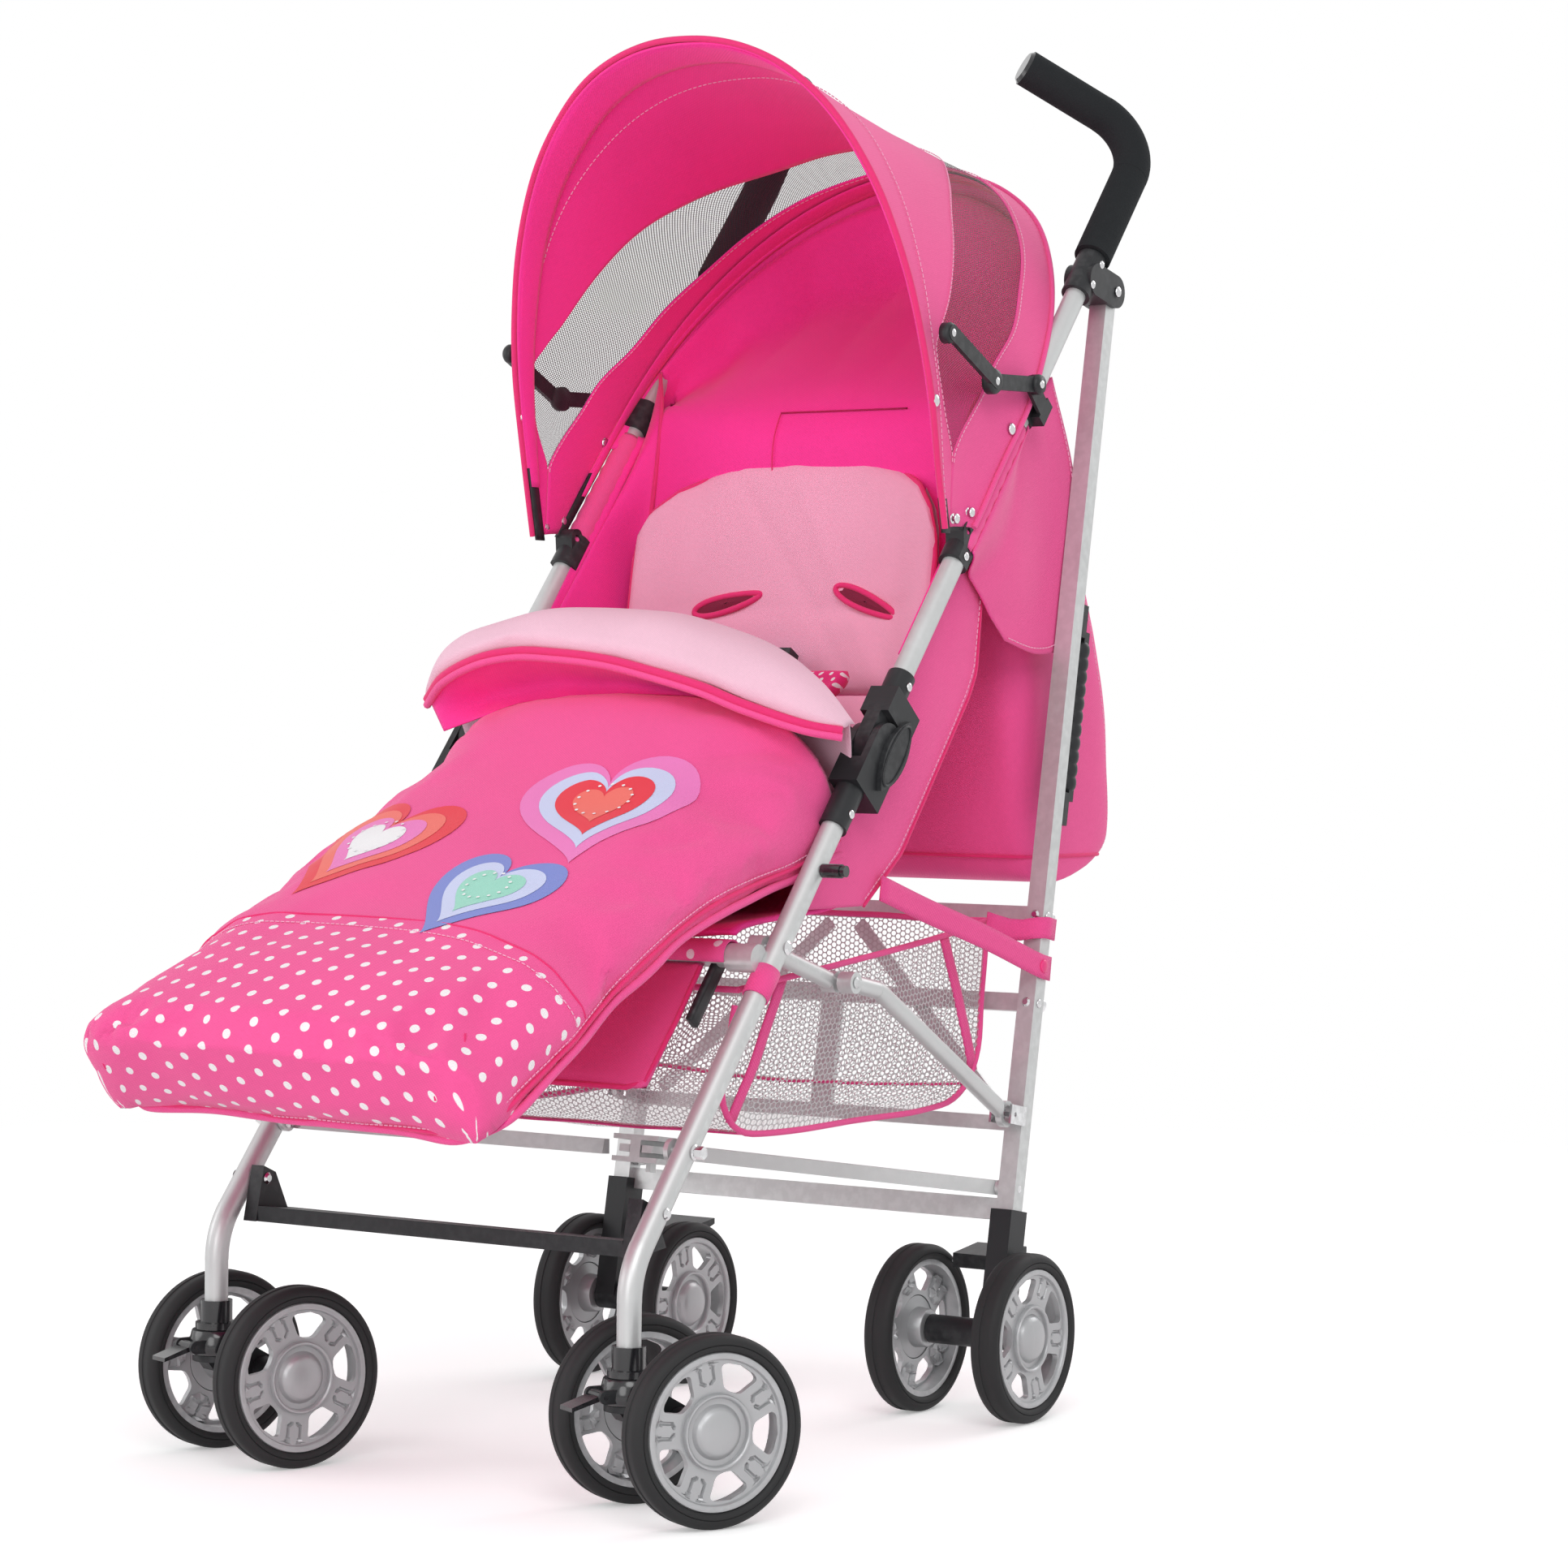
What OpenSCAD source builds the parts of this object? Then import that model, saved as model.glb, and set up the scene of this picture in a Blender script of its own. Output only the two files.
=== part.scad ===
// Umbrella-fold baby stroller with canopy, recliner seat, footmuff and basket.
// X runs to the child's left, Y to the rear and Z up. Stations (s) run up the
// side tube from its bend; stations (t) run down the rear leg from its top pivot.

/* [Side tubes] */
// Outer diameter of the round side tubes
tube_d = 18; // [16:0.5:20]
// Wall of the round tubes
tube_wall = 1.5; // [1:0.1:2.5]
// Distance between the axes of the two side tubes
track = 390; // [370:5:410]
// Lean of the side tubes from upright
lean = 40.15; // [38:0.05:42]
// Height of the bend above the floor
bend_z = 178.7; // [172:0.1:186]
// Radius of the bend
bend_r = 60; // [50:1:66]
// Station of the folding joint's pin
joint_s = 499.5; // [480:0.5:520]
// How far the joint's pin lies behind the tube's axis
joint_off = 7; // [5:0.5:9]
// Radius of the joint's round knuckles
knuckle_r = 21; // [18:0.5:23]
// Width of the joint's body, along X
joint_w = 26; // [24:0.5:30]
// Outer diameter of the joint's sleeves
sleeve_d = 23; // [21:0.5:26]
// Station of the lower sleeve's foot
sleeve_lo_s = 414; // [405:1:425]
// Station of the upper sleeve's top
sleeve_hi_s = 569; // [560:1:585]

/* [Handles] */
// Station of the handle's bend
handle_s = 1189; // [1160:1:1210]
// Radius of the handle's bend
handle_r = 44; // [36:1:50]
// Length of the grip from the bend's corner
grip_len = 124; // [110:1:140]
// Turn of the grip towards the middle, seen from above
grip_in = 44.6; // [35:0.1:55]
// Rise of the grip above level
grip_rise = 28.3; // [20:0.1:35]
// Outer diameter of the foam
foam_d = 32; // [28:0.5:36]
// Station where the foam starts
foam_s = 1043; // [1042:1:1070]
// Station of the handle bracket's foot
bracket_s = 998; // [985:1:1010]
// Height of the handle bracket
bracket_h = 44; // [38:1:44]

/* [Rear legs] */
// Station of the rear leg's top pivot
pivot_s = 1035.7; // [1025:0.1:1040]
// How far the top pivot lies behind the tube's axis
pivot_off = 34; // [30:0.5:38]
// Lean of the rear legs from upright
leg_lean = 10.6; // [9:0.1:12]
// Side of the square leg tube
leg_w = 16; // [14:0.5:18]
// Station of the upper cross bar
upper_bar_t = 542; // [530:1:560]
// Station of the lower cross bar
lower_bar_t = 616; // [600:1:640]
// Height of the cross bars
bar_h = 15; // [12:0.5:18]
// Thickness of the cross bars
bar_t = 8; // [6:0.5:10]
// Station of the strut pivot
strut_t = 712; // [700:1:725]
// How far the strut pivot lies in front of the leg's axis
strut_off = 24; // [20:0.5:28]
// Station of the rear brace arms' pivot
arm_t = 772; // [768:1:774]
// Station of the housing's top
housing_t = 790; // [785:1:798]

/* [Wheels] */
// Diameter of the wheels
wheel_d = 140; // [130:1:150]
// Width of the tyres
tyre_w = 25; // [20:0.5:28]
// Diameter of the rim where the tyre sits
rim_d = 116; // [104:1:122]
// Spokes in each rim
spokes = 5; // [4:1:7]
// Diameter of the axles
axle_d = 8; // [6:0.5:10]
// Outer wheel's plane from the rear leg's axis
outer_wheel_x = 26; // [25.5:0.5:30]
// Distance between the planes of a rear pair
rear_pair = 102; // [90:1:110]
// Distance between the planes of a front pair
front_pair = 110; // [100:1:116]
// Trail of the casters
trail = 38; // [30:1:44]
// Swivel of the left caster
left_swivel = -25.75; // [-90:0.25:90]
// Swivel of the right caster
right_swivel = -17.6; // [-90:0.1:90]

/* [Seat] */
// Station of the seat's front bar
seat_bar_s = 276; // [268:1:284]
// Half width of the seat cloth between the rails
seat_half = 169; // [150:1:169]
// Thickness of the seat cloth and its padding
seat_thick = 8; // [5:0.5:10]
// Height of the backrest
back_h = 246; // [220:1:250]
// Thickness of the backrest
back_thick = 14; // [10:0.5:16]
// Half width of the backrest
back_half = 158; // [140:1:162]
// Half width of the seat liner
liner_half = 138; // [120:1:150]
// Thickness of the liner
liner_thick = 9; // [6:0.5:10]

/* [Canopy] */
// Station of the canopy clamp's foot
clamp_s = 690; // [686:1:694]
// Station of the stay clamp's foot
stay_clamp_s = 851; // [848:1:856]
// Play between the clamps' flat sides and the canopy's bows
bow_play = 0.2; // [0.2:0.1:3]
// Radius at which the canopy's straight sides end
hood_straight = 85; // [80:1:110]
// Radius of the canopy's top
hood_r = 424; // [400:1:440]
// Forward lean of the front bow
front_bow_lean = 20; // [16:0.5:24]
// Rearward lean of the rear bow
rear_bow_lean = 36; // [33:0.5:36]
// Thickness of the canopy cloth
skin = 2; // [1:0.25:2]
// Thickness of the bows
bow_thick = 2.5; // [1.5:0.25:2.5]
// Width of the bows
bow_w = 14; // [10:1:18]

/* [Footmuff and basket] */
// Half width of the footmuff
muff_half = 166; // [150:1:168]
// Half width of the footmuff's flap
flap_half = 190; // [170:1:200]
// Thickness of the footmuff's padding
muff_pad = 12; // [8:0.5:14]
// Play between the basket and the seat's side rails
basket_play = 9.5; // [6:0.5:20]
// Thickness of the basket's mesh
mesh = 2.5; // [2:0.25:4]

/* [Fits] */
// Radial clearance of pins that turn
pin_gap = 0.05; // [0.02:0.01:0.1]
// Gap between parts that move past each other
move_gap = 0.5; // [0.4:0.1:1]
// Diameter of the hinge pins
pin_d = 6; // [5:0.5:7]
// Diameter of the rivets
rivet_d = 4; // [3:0.5:5]

/* [Hidden] */
$fn = 48;

// Colours
silver = [0.74, 0.75, 0.76];
black = [0.06, 0.06, 0.07];
rim_grey = [0.68, 0.69, 0.71];
pink = [0.93, 0.28, 0.6];
deep_pink = [0.85, 0.12, 0.42];
light_pink = [0.96, 0.66, 0.79];
mesh_grey = [0.62, 0.58, 0.6];

// Derived values
side_x = track / 2;
wheel_r = wheel_d / 2;
tube_gap = 0.05;
pivot = along(pivot_s, pivot_off);
axle_t = (pivot[1] - wheel_r) / cos(leg_lean);
joint = along(joint_s, joint_off);
rail_d = 14;
rail_x = side_x - tube_d / 2 - move_gap - rail_d / 2;
basket_half = rail_x - rail_d / 2 - basket_play;
front_bolt_s = 107;
front_bolt = along(front_bolt_s);
rail_s = 297;
rail_front = along(rail_s);
knee = [294, 374];
strut_bend = [337, 366];
strut_foot = leg_point(strut_t, -strut_off);
arm_pivot = leg_point(arm_t);
pedal_at = leg_point(axle_t - 60, 24);
hub_at = [308, 229];
hub_size = [44, 50, 22];
arm_w = 12;
arm_thick = 6;
tab_t = 4;
tab_x = side_x - tube_d / 2 - move_gap - tab_t / 2;
rear_tab_x = side_x - leg_w / 2 - move_gap - tab_t / 2;
hood_pivot = along(716.4, -10.4);
stay_t = 4;
cloth_gap = 0.5;
// The clamps' outer sides are flat, so that the bows pass outside them
clamp_face = side_x + tube_d / 2 + 0.3;
bow_half = clamp_face + bow_play + bow_thick;
hood_half = bow_half + cloth_gap + skin;
plate_x = [hood_half + move_gap, hood_half + move_gap + 3];
stay_x = plate_x[1] + move_gap + stay_t / 2;
boss_r = 6.5;
stay_rear = [541.5, 857.5];
stay_knee = [468, 854.7];
stay_front = hood_pivot + 165 * [-sin(front_bow_lean), cos(front_bow_lean)];
recline_at = [503, 606];
recline_lean = 9.5;
seat_bar_at = along(seat_bar_s, -13);
seat_bar_d = 16;
footrest_s = 52;
footrest_at = along(footrest_s);
fork_w = 16;
pin_len = 52;
collar_z = [104, 126];
stem_foot = 112;
// Middle of the bounding box, which becomes the origin
middle = [16.54, 315.78];

function along(s, across = 0) =
  [s * sin(lean) + across * cos(lean), bend_z + s * cos(lean) - across * sin(lean)];
function leg_point(t, across = 0) =
  pivot + t * [-sin(leg_lean), -cos(leg_lean)] + across * [cos(leg_lean), -sin(leg_lean)];
function arc(c, r, a0, a1, n) = [for (i = [0:n]) let (a = a0 + (a1 - a0) * i / n) c + r * [cos(a), sin(a)]];
function unit(v) = v / norm(v);

// Puts the origin under the middle of the bounding box
module stand() translate([-middle[0], -middle[1], 0]) children();
module pair() {
  children();
  mirror([1, 0, 0]) children();
}
// Frames on the side tube and on the rear leg: z runs up the tube, y to the rear
module on_tube(s, across = 0, x = side_x) {
  p = along(s, across);
  translate([x, p[0], p[1]]) rotate([-lean, 0, 0]) children();
}
module on_leg(t, across = 0, x = side_x) {
  p = leg_point(t, across);
  translate([x, p[0], p[1]]) rotate([-leg_lean, 0, 0]) children();
}
// A cylinder along X through a point in the side plane
module x_rod(p, x0, x1, d) translate([x0, p[0], p[1]]) rotate([0, 90, 0]) cylinder(h = x1 - x0, d = d);
// A side outline in Y and Z, extruded along X
module side_plate(x0, x1) translate([x0, 0, 0]) rotate([90, 0, 90]) linear_extrude(x1 - x0) children();
// A square or round bar from one point to another
module reach(a, b) {
  v = b - a;
  translate(a) rotate([0, acos(v[2] / norm(v)), atan2(v[1], v[0])]) children();
}
module rod(a, b, d) reach(a, b) cylinder(h = norm(b - a), d = d);
// A bent round bar through the points, with a bend of radius r at each inner point.
// The bends are a hair thicker and the straights enter them, so that each bar is one piece.
module bent_bar(points, r, d) {
  last = len(points) - 1;
  dirs = [for (i = [0:last - 1]) unit(points[i + 1] - points[i])];
  lead = concat([0], [for (i = [1:last - 1]) r * tan(acos(dirs[i - 1] * dirs[i]) / 2)], [0]);
  for (i = [0:last - 1]) rod(
    points[i] + (i > 0 ? lead[i] - lap : 0) * dirs[i],
    points[i + 1] - (i < last - 1 ? lead[i + 1] - lap : 0) * dirs[i], d);
  for (i = [1:last - 1]) elbow(points[i], dirs[i - 1], dirs[i], r, d + 2 * hair);
}
module bent_tube(points, r, d, bore) difference() {
  bent_bar(points, r, d);
  bent_bar(concat([points[0] - unit(points[1] - points[0])],
    [for (i = [1:len(points) - 2]) points[i]],
    [points[len(points) - 1] + unit(points[len(points) - 1] - points[len(points) - 2])]), r, bore);
}
// The bend at corner p, from direction u to direction v
module elbow(p, u, v, r, d) {
  turn = acos(u * v);
  c = p + unit(v - u) * r / cos(turn / 2);
  x = unit(p - r * tan(turn / 2) * u - c);
  z = cross(x, u);
  multmatrix([[x[0], u[0], z[0], c[0]], [x[1], u[1], z[1], c[1]], [x[2], u[2], z[2], c[2]], [0, 0, 0, 1]])
    rotate_extrude(angle = turn) translate([r, 0]) circle(d = d);
}
// A slab between two points of the side plane, thick to its upper side
module slab(p, q, half, thick) {
  v = q - p;
  translate([-half, p[0], p[1]]) rotate([atan2(v[1], v[0]), 0, 0]) cube([2 * half, norm(v), thick]);
}
// A bent layer along a path in the side plane, from d0 to d1 above the path
function beside(path, d) = [for (i = [0:len(path) - 1])
  let (u = unit(path[max(i, 1)] - path[max(i, 1) - 1]),
       j = min(i, len(path) - 2), v = unit(path[j + 1] - path[j]),
       n = [-u[1], u[0]], m = [-v[1], v[0]])
  path[i] + d * (n + m) / (1 + n * m)];
module layer(path, d0, d1, half) {
  outer = beside(path, d1);
  side_plate(-half, half) polygon(concat(beside(path, d0), [for (i = [len(path) - 1:-1:0]) outer[i]]));
}
// A link with round ends, as a side outline
module link(p, q, r) hull() {
  translate(p) circle(r = r, $fn = 32);
  translate(q) circle(r = r, $fn = 32);
}
// A rivet along X with a domed head on each end
module rivet(p, x0, x1, d = rivet_d, head = 9) {
  x_rod(p, x0, x1, d);
  translate([x1, p[0], p[1]]) rotate([0, 90, 0]) rivet_head(head);
  translate([x0, p[0], p[1]]) rotate([0, -90, 0]) rivet_head(head);
}
module rivet_head(d) cylinder(h = 1.6, d1 = d, d2 = d * 0.6);

// ---- Side tubes and handles ----
up = [0, sin(lean), cos(lean)];
grip_dir = [-sin(grip_in) * cos(grip_rise), -cos(grip_in) * cos(grip_rise), sin(grip_rise)];
handle_at = [side_x, along(handle_s)[0], along(handle_s)[1]];
// Where the tubes stop on each side of the folding joint's pin
tube_stop = 30;
// How far the grip's plug reaches into the tube
plug_in = 6;
// How much thicker bends are than their straights, and how far the straights enter them
hair = 0.15;
lap = 1;
function at_side(p, x = side_x) = [x, p[0], p[1]];
module front_tubes() color(silver) pair() difference() {
  bent_tube([[side_x, 0, stem_foot], [side_x, 0, bend_z], at_side(along(joint_s - tube_stop))],
    bend_r, tube_d, tube_d - 2 * tube_wall);
  x_rod(footrest_at, side_x - tube_d, side_x + tube_d, rivet_d + 2 * tube_gap);
  x_rod(front_bolt, side_x - tube_d, side_x + tube_d, pin_d + 2 * tube_gap);
  x_rod(rail_front, side_x - tube_d, side_x + tube_d, pin_d + 2 * tube_gap);
}
module push_tubes() color(silver) pair()
  bent_tube([at_side(along(joint_s + tube_stop)), handle_at, handle_at + (grip_len - plug_in) * grip_dir],
    handle_r, tube_d, tube_d - 2 * tube_wall);
module grips() color(black) pair()
  bent_tube([at_side(along(foam_s)), handle_at, handle_at + grip_len * grip_dir],
    handle_r, foam_d, tube_d + 2 * tube_gap);
module grip_plugs() color(black) pair() translate(handle_at + (grip_len - plug_in + 0.1) * grip_dir)
  rotate([0, 90 - grip_rise, 180 + 90 - grip_in]) {
    cylinder(h = 5.8, d = tube_d);
    translate([0, 0, 5.95]) cylinder(h = 3, d1 = foam_d - 1, d2 = foam_d - 6);
    cylinder(h = 7, d = tube_d - 2);
  }

module tube_bore(s0, s1) on_tube(s0) cylinder(h = s1 - s0, d = tube_d + 2 * tube_gap);
cheek_t = 6;
module lower_joints() color(black) pair() difference() {
  union() {
    on_tube(sleeve_lo_s) cylinder(h = joint_s - sleeve_lo_s - 24, d = sleeve_d);
    on_tube(joint_s, joint_off) translate([-joint_w / 2, -knuckle_r, -48])
      cube([joint_w, 2 * knuckle_r, 24]);
    for (side = [-1, 1]) on_tube(joint_s, joint_off)
      translate([side * (joint_w - cheek_t) / 2, 0, 0]) {
        rotate([0, 90, 0]) cylinder(h = cheek_t, r = knuckle_r, center = true);
        translate([-cheek_t / 2, -knuckle_r, -26]) cube([cheek_t, 2 * knuckle_r, 26]);
      }
  }
  tube_bore(sleeve_lo_s - 1, joint_s - 29);
  x_rod(joint, side_x - joint_w, side_x + joint_w, pin_d + 2 * pin_gap);
}
module upper_joints() color(black) pair() difference() {
  tongue_w = joint_w - 2 * cheek_t - 2 * move_gap;
  union() {
    on_tube(joint_s + 24) cylinder(h = sleeve_hi_s - joint_s - 24, d = sleeve_d);
    on_tube(joint_s, joint_off) {
      rotate([0, 90, 0]) cylinder(h = tongue_w, r = knuckle_r, center = true);
      translate([-tongue_w / 2, -knuckle_r, 0]) cube([tongue_w, 2 * knuckle_r, 26]);
      translate([-joint_w / 2, -knuckle_r, knuckle_r + 2]) cube([joint_w, 2 * knuckle_r, 25]);
    }
  }
  tube_bore(joint_s + 29, sleeve_hi_s + 1);
  x_rod(joint, side_x - joint_w, side_x + joint_w, pin_d + 2 * pin_gap);
}
// Oval release cover on the outside of each folding joint
pad_len = 71;
pad_w = 29;
module joint_pads() color(black) pair() on_tube(joint_s, joint_off + 8) {
  r = (pad_len * pad_len + pad_w * pad_w) / (4 * pad_w);
  translate([joint_w / 2 + 0.05, 0, 0]) rotate([90, 0, 90]) linear_extrude(4) intersection() {
    translate([r - pad_w / 2, 0]) circle(r = r, $fn = 96);
    translate([-r + pad_w / 2, 0]) circle(r = r, $fn = 96);
  }
}

// Bracket that carries the rear leg, with a slot for the leg's top
module handle_brackets() color(black) pair() difference() {
  union() {
    on_tube(bracket_s) cylinder(h = bracket_h, d = sleeve_d + 2);
    side_plate(side_x - joint_w / 2, side_x + joint_w / 2) link(pivot, along(pivot_s - 16, 4), 14);
  }
  tube_bore(bracket_s - 1, bracket_s + bracket_h + 6);
  on_leg(60) translate([-leg_w / 2 - move_gap, -leg_w / 2 - 2, 0]) cube([leg_w + 2 * move_gap, leg_w + 20, 76]);
  x_rod(pivot, side_x - joint_w, side_x + joint_w, pin_d + 2 * tube_gap);
}

// ---- Things fixed to the side tubes ----
module seat_bar() color(silver) {
  x_rod(seat_bar_at, -seat_bar_half(), seat_bar_half(), seat_bar_d);
  color(black) pair() difference() {
    x_rod(seat_bar_at, seat_bar_half() + 0.1, side_x - 2, seat_bar_d + 6);
    on_tube(seat_bar_s - 40) cylinder(h = 80, d = tube_d + 2 * tube_gap);
  }
}
function seat_bar_half() = side_x - tube_d / 2 - 18;

// Foot board with a triangular bracket at each end
module footrest() color(black) {
  difference() {
    union() {
      side_plate(-side_x + 22, side_x - 22) polygon([[22, 186], [58, 190], [58, 194], [30, 191], [26, 198], [22, 198]]);
      pair() side_plate(side_x - 22, side_x - tube_d / 2 - move_gap)
        polygon([[20, 186], [60, 190], footrest_at + [10, 4], footrest_at + [-4, 10]]);
    }
    x_rod(footrest_at, -side_x, side_x, rivet_d + 2 * pin_gap);
  }
}

module canopy_clamps() color(black) pair() difference() {
  union() {
    on_tube(clamp_s) cylinder(h = 32, d = sleeve_d + 2);
    side_plate(side_x - 8, clamp_face) link(hood_pivot, along(clamp_s + 16), 8);
  }
  tube_bore(clamp_s - 1, clamp_s + 36);
  translate([clamp_face, 0, 0]) cube([50, 1000, 1500]);
  x_rod(hood_pivot, side_x - 20, side_x + 20, pin_d + 2 * pin_gap);
}
module stay_clamps() color(black) pair() difference() {
  union() {
    difference() {
      on_tube(stay_clamp_s) cylinder(h = 31, d = sleeve_d + 2);
      translate([clamp_face, 0, 0]) cube([50, 1000, 1500]);
    }
    on_tube(stay_clamp_s + 4) translate([2, 1, 0]) cube([plate_x[1] - side_x - 2, 11, 22]);
    side_plate(plate_x[0], plate_x[1]) link(stay_rear, along(stay_clamp_s + 15, 4), 8);
  }
  tube_bore(stay_clamp_s - 1, stay_clamp_s + 32);
  x_rod(stay_rear, side_x - 20, stay_x + 20, rivet_d + 2 * pin_gap);
}
// Rivets, bolts and the folding joints' pins
module frame_rivets() color(silver) pair() {
  x_rod(joint, side_x - joint_w / 2, side_x + joint_w / 2, pin_d);
  rivet(footrest_at, side_x - 22.5, side_x + tube_d / 2 + 0.4);
  rivet(front_bolt, side_x - 14, side_x + tube_d / 2 + 0.4, pin_d, 12);
  translate([side_x + tube_d / 2 + 2, front_bolt[0], front_bolt[1]]) rotate([0, 90, 0]) cylinder(h = 6, d = 10, $fn = 6);
  rivet(rail_front, rail_x - rail_d / 2 - 1, side_x + tube_d / 2 + 0.4, pin_d, 11);
}
module fold_stud() color(black) on_tube(372, 0, side_x) {
  translate([tube_d / 2 + 0.1, 0, 0]) rotate([0, 90, 0]) cylinder(h = 17, d = 11);
  color(silver) translate([tube_d / 2 + 17.2, 0, 0]) rotate([0, 90, 0]) cylinder(h = 4, d = 9);
}
module caster_collars() color(black) pair() translate([side_x, 0, 0]) difference() {
  union() {
    translate([0, 0, collar_z[0]]) cylinder(h = collar_z[1] - collar_z[0], d = 25);
    translate([0, 0, collar_z[0]]) cylinder(h = 5, d = 32);
  }
  translate([0, 0, stem_foot - 0.1]) cylinder(h = 40, d = tube_d + 2 * tube_gap);
  translate([0, 0, collar_z[0] - 1]) cylinder(h = 40, d = 10 + 2 * pin_gap);
}

// ---- Rear frame ----
module rear_legs() color(silver) pair() difference() {
  on_leg(axle_t - 60) translate([-leg_w / 2, -leg_w / 2, 0]) difference() {
    cube([leg_w, leg_w, axle_t - 60 + 10]);
    translate([1.5, 1.5, -1]) cube([leg_w - 3, leg_w - 3, axle_t]);
  }
  x_rod(pivot, side_x - leg_w, side_x + leg_w, pin_d + 2 * pin_gap);
  x_rod(arm_pivot, side_x - leg_w, side_x + leg_w, pin_d + 2 * tube_gap);
}
bar_half = side_x - leg_w / 2;
foot_bar_t = axle_t - 104;
foot_bar_off = 3;
foot_bar_h = 18;
module cross_bar(t, across = 0, h = bar_h) on_leg(t, across, 0)
  translate([-bar_half, -bar_t / 2, -h / 2]) cube([2 * bar_half, bar_t, h]);
module rear_bars() color(silver) {
  cross_bar(upper_bar_t);
  cross_bar(lower_bar_t);
  cross_bar(foot_bar_t, foot_bar_off, foot_bar_h);
}
module flat_bar(a, b, w, t) reach(a, b) translate([-t / 2, -w / 2, 0]) cube([t, w, norm(b - a)]);
module rear_braces() color(silver) on_leg(0, 0, 0) {
  brace_t = 3;
  behind = bar_t / 2 + move_gap + brace_t / 2;
  run = [bar_half - 28, -strut_t + upper_bar_t + 16];
  for (side = [-1, 1]) multmatrix([[1, 0, 0, side * 14], [0, 1, 0, behind], [0, 0, 1, -upper_bar_t - 12], [0, 0, 0, 1]])
    rotate([0, side * atan2(run[0], run[1]), 0]) translate([-6, -brace_t / 2, 0]) cube([12, brace_t, norm(run)]);
  translate([-10, -3, -strut_t]) cube([20, 6, strut_t - lower_bar_t - bar_h / 2 - move_gap]);
  translate([-bar_half, -2, -strut_t - 12]) cube([2 * bar_half, 4, 12]);
}
boss_len = outer_wheel_x - tyre_w / 2 - 2;
inner_boss = rear_pair - outer_wheel_x - tyre_w / 2 - 1;
module rear_housings() color(black) pair() difference() {
  union() {
    on_leg(axle_t - 60) translate([-10, 10, -8]) cube([8, 22, 16]);
    on_leg(axle_t) translate([-10, -13, 0]) cube([20, 26, axle_t - housing_t]);
    x_rod(leg_point(axle_t), side_x - inner_boss, side_x + boss_len, 24);
  }
  on_leg(axle_t - 60) translate([-leg_w / 2 - tube_gap, -leg_w / 2 - tube_gap, -0.1])
    cube([leg_w + 2 * tube_gap, leg_w + 2 * tube_gap, 100]);
  x_rod(leg_point(axle_t), 0, 2 * side_x, axle_d + 2 * tube_gap);
  x_rod(pedal_at, 0, 2 * side_x, pin_d + 2 * tube_gap);
  on_leg(foot_bar_t, foot_bar_off) translate([-20, -bar_t / 2 - tube_gap, -foot_bar_h / 2 - tube_gap])
    cube([20, bar_t + 2 * tube_gap, foot_bar_h + 2 * tube_gap]);
}
module rear_axles() color(silver) pair() {
  x_rod(leg_point(axle_t), side_x + outer_wheel_x - rear_pair - 5.5, side_x + outer_wheel_x + 5.5, axle_d);
  x_rod(pedal_at, side_x - 62, side_x - 2, pin_d);
}
module rear_rivets() color(silver) pair() {
  for (t = [upper_bar_t, lower_bar_t]) on_leg(t, -leg_w / 2 - 0.05, side_x) rotate([90, 0, 0]) rivet_head(8);
  for (t = [upper_bar_t, lower_bar_t]) on_leg(t, leg_w / 2 + 0.05, side_x) rotate([-90, 0, 0]) cylinder(h = 7, d = 14);
  x_rod(pivot, side_x - joint_w / 2, side_x + joint_w / 2, pin_d);
  x_rod(arm_pivot, rear_tab_x - tab_t, side_x + leg_w / 2, pin_d);
  x_rod(strut_foot, side_x - 8, side_x + 8, rivet_d);
  for (side = [-1, 1]) difference() {
    on_leg(strut_t, -strut_off, side_x + side * 9.5)
      translate([-1, -7, -8]) cube([2, strut_off - leg_w / 2 + 9, 16]);
    x_rod(strut_foot, side_x - 40, side_x + 40, rivet_d);
  }
}
module brake_pedals() color(black) pair() difference() {
  side_plate(side_x - 60, side_x - 12) polygon([pedal_at + [-5, -6], pedal_at + [36, 6], pedal_at + [36, 11], pedal_at + [-5, 6]]);
  x_rod(pedal_at, 0, 2 * side_x, pin_d + 2 * pin_gap);
}
module carry_handle() color(black) on_leg(0, leg_w / 2 + 0.1) {
  for (t = [286, 448]) translate([-7, 0, -t - 14]) cube([14, 10, 28]);
  translate([-6, 10, -440]) cube([12, 8, 146]);
}

// ---- Side struts and the X brace under the seat ----
eye_t = 6;
eye_w = rail_d - 1;
eye_d = rail_d + 3;
module seat_rails() color(silver) pair() difference() {
  union() {
    rod(at_side(rail_front, rail_x), at_side(knee, rail_x), rail_d);
    for (p = [rail_front, knee]) x_rod(p, rail_x - eye_w / 2, rail_x + eye_w / 2, eye_d);
  }
  x_rod(rail_front, rail_x - 30, side_x, pin_d + 2 * pin_gap);
  x_rod(knee, rail_x - 30, side_x, rivet_d + 2 * tube_gap);
}
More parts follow.
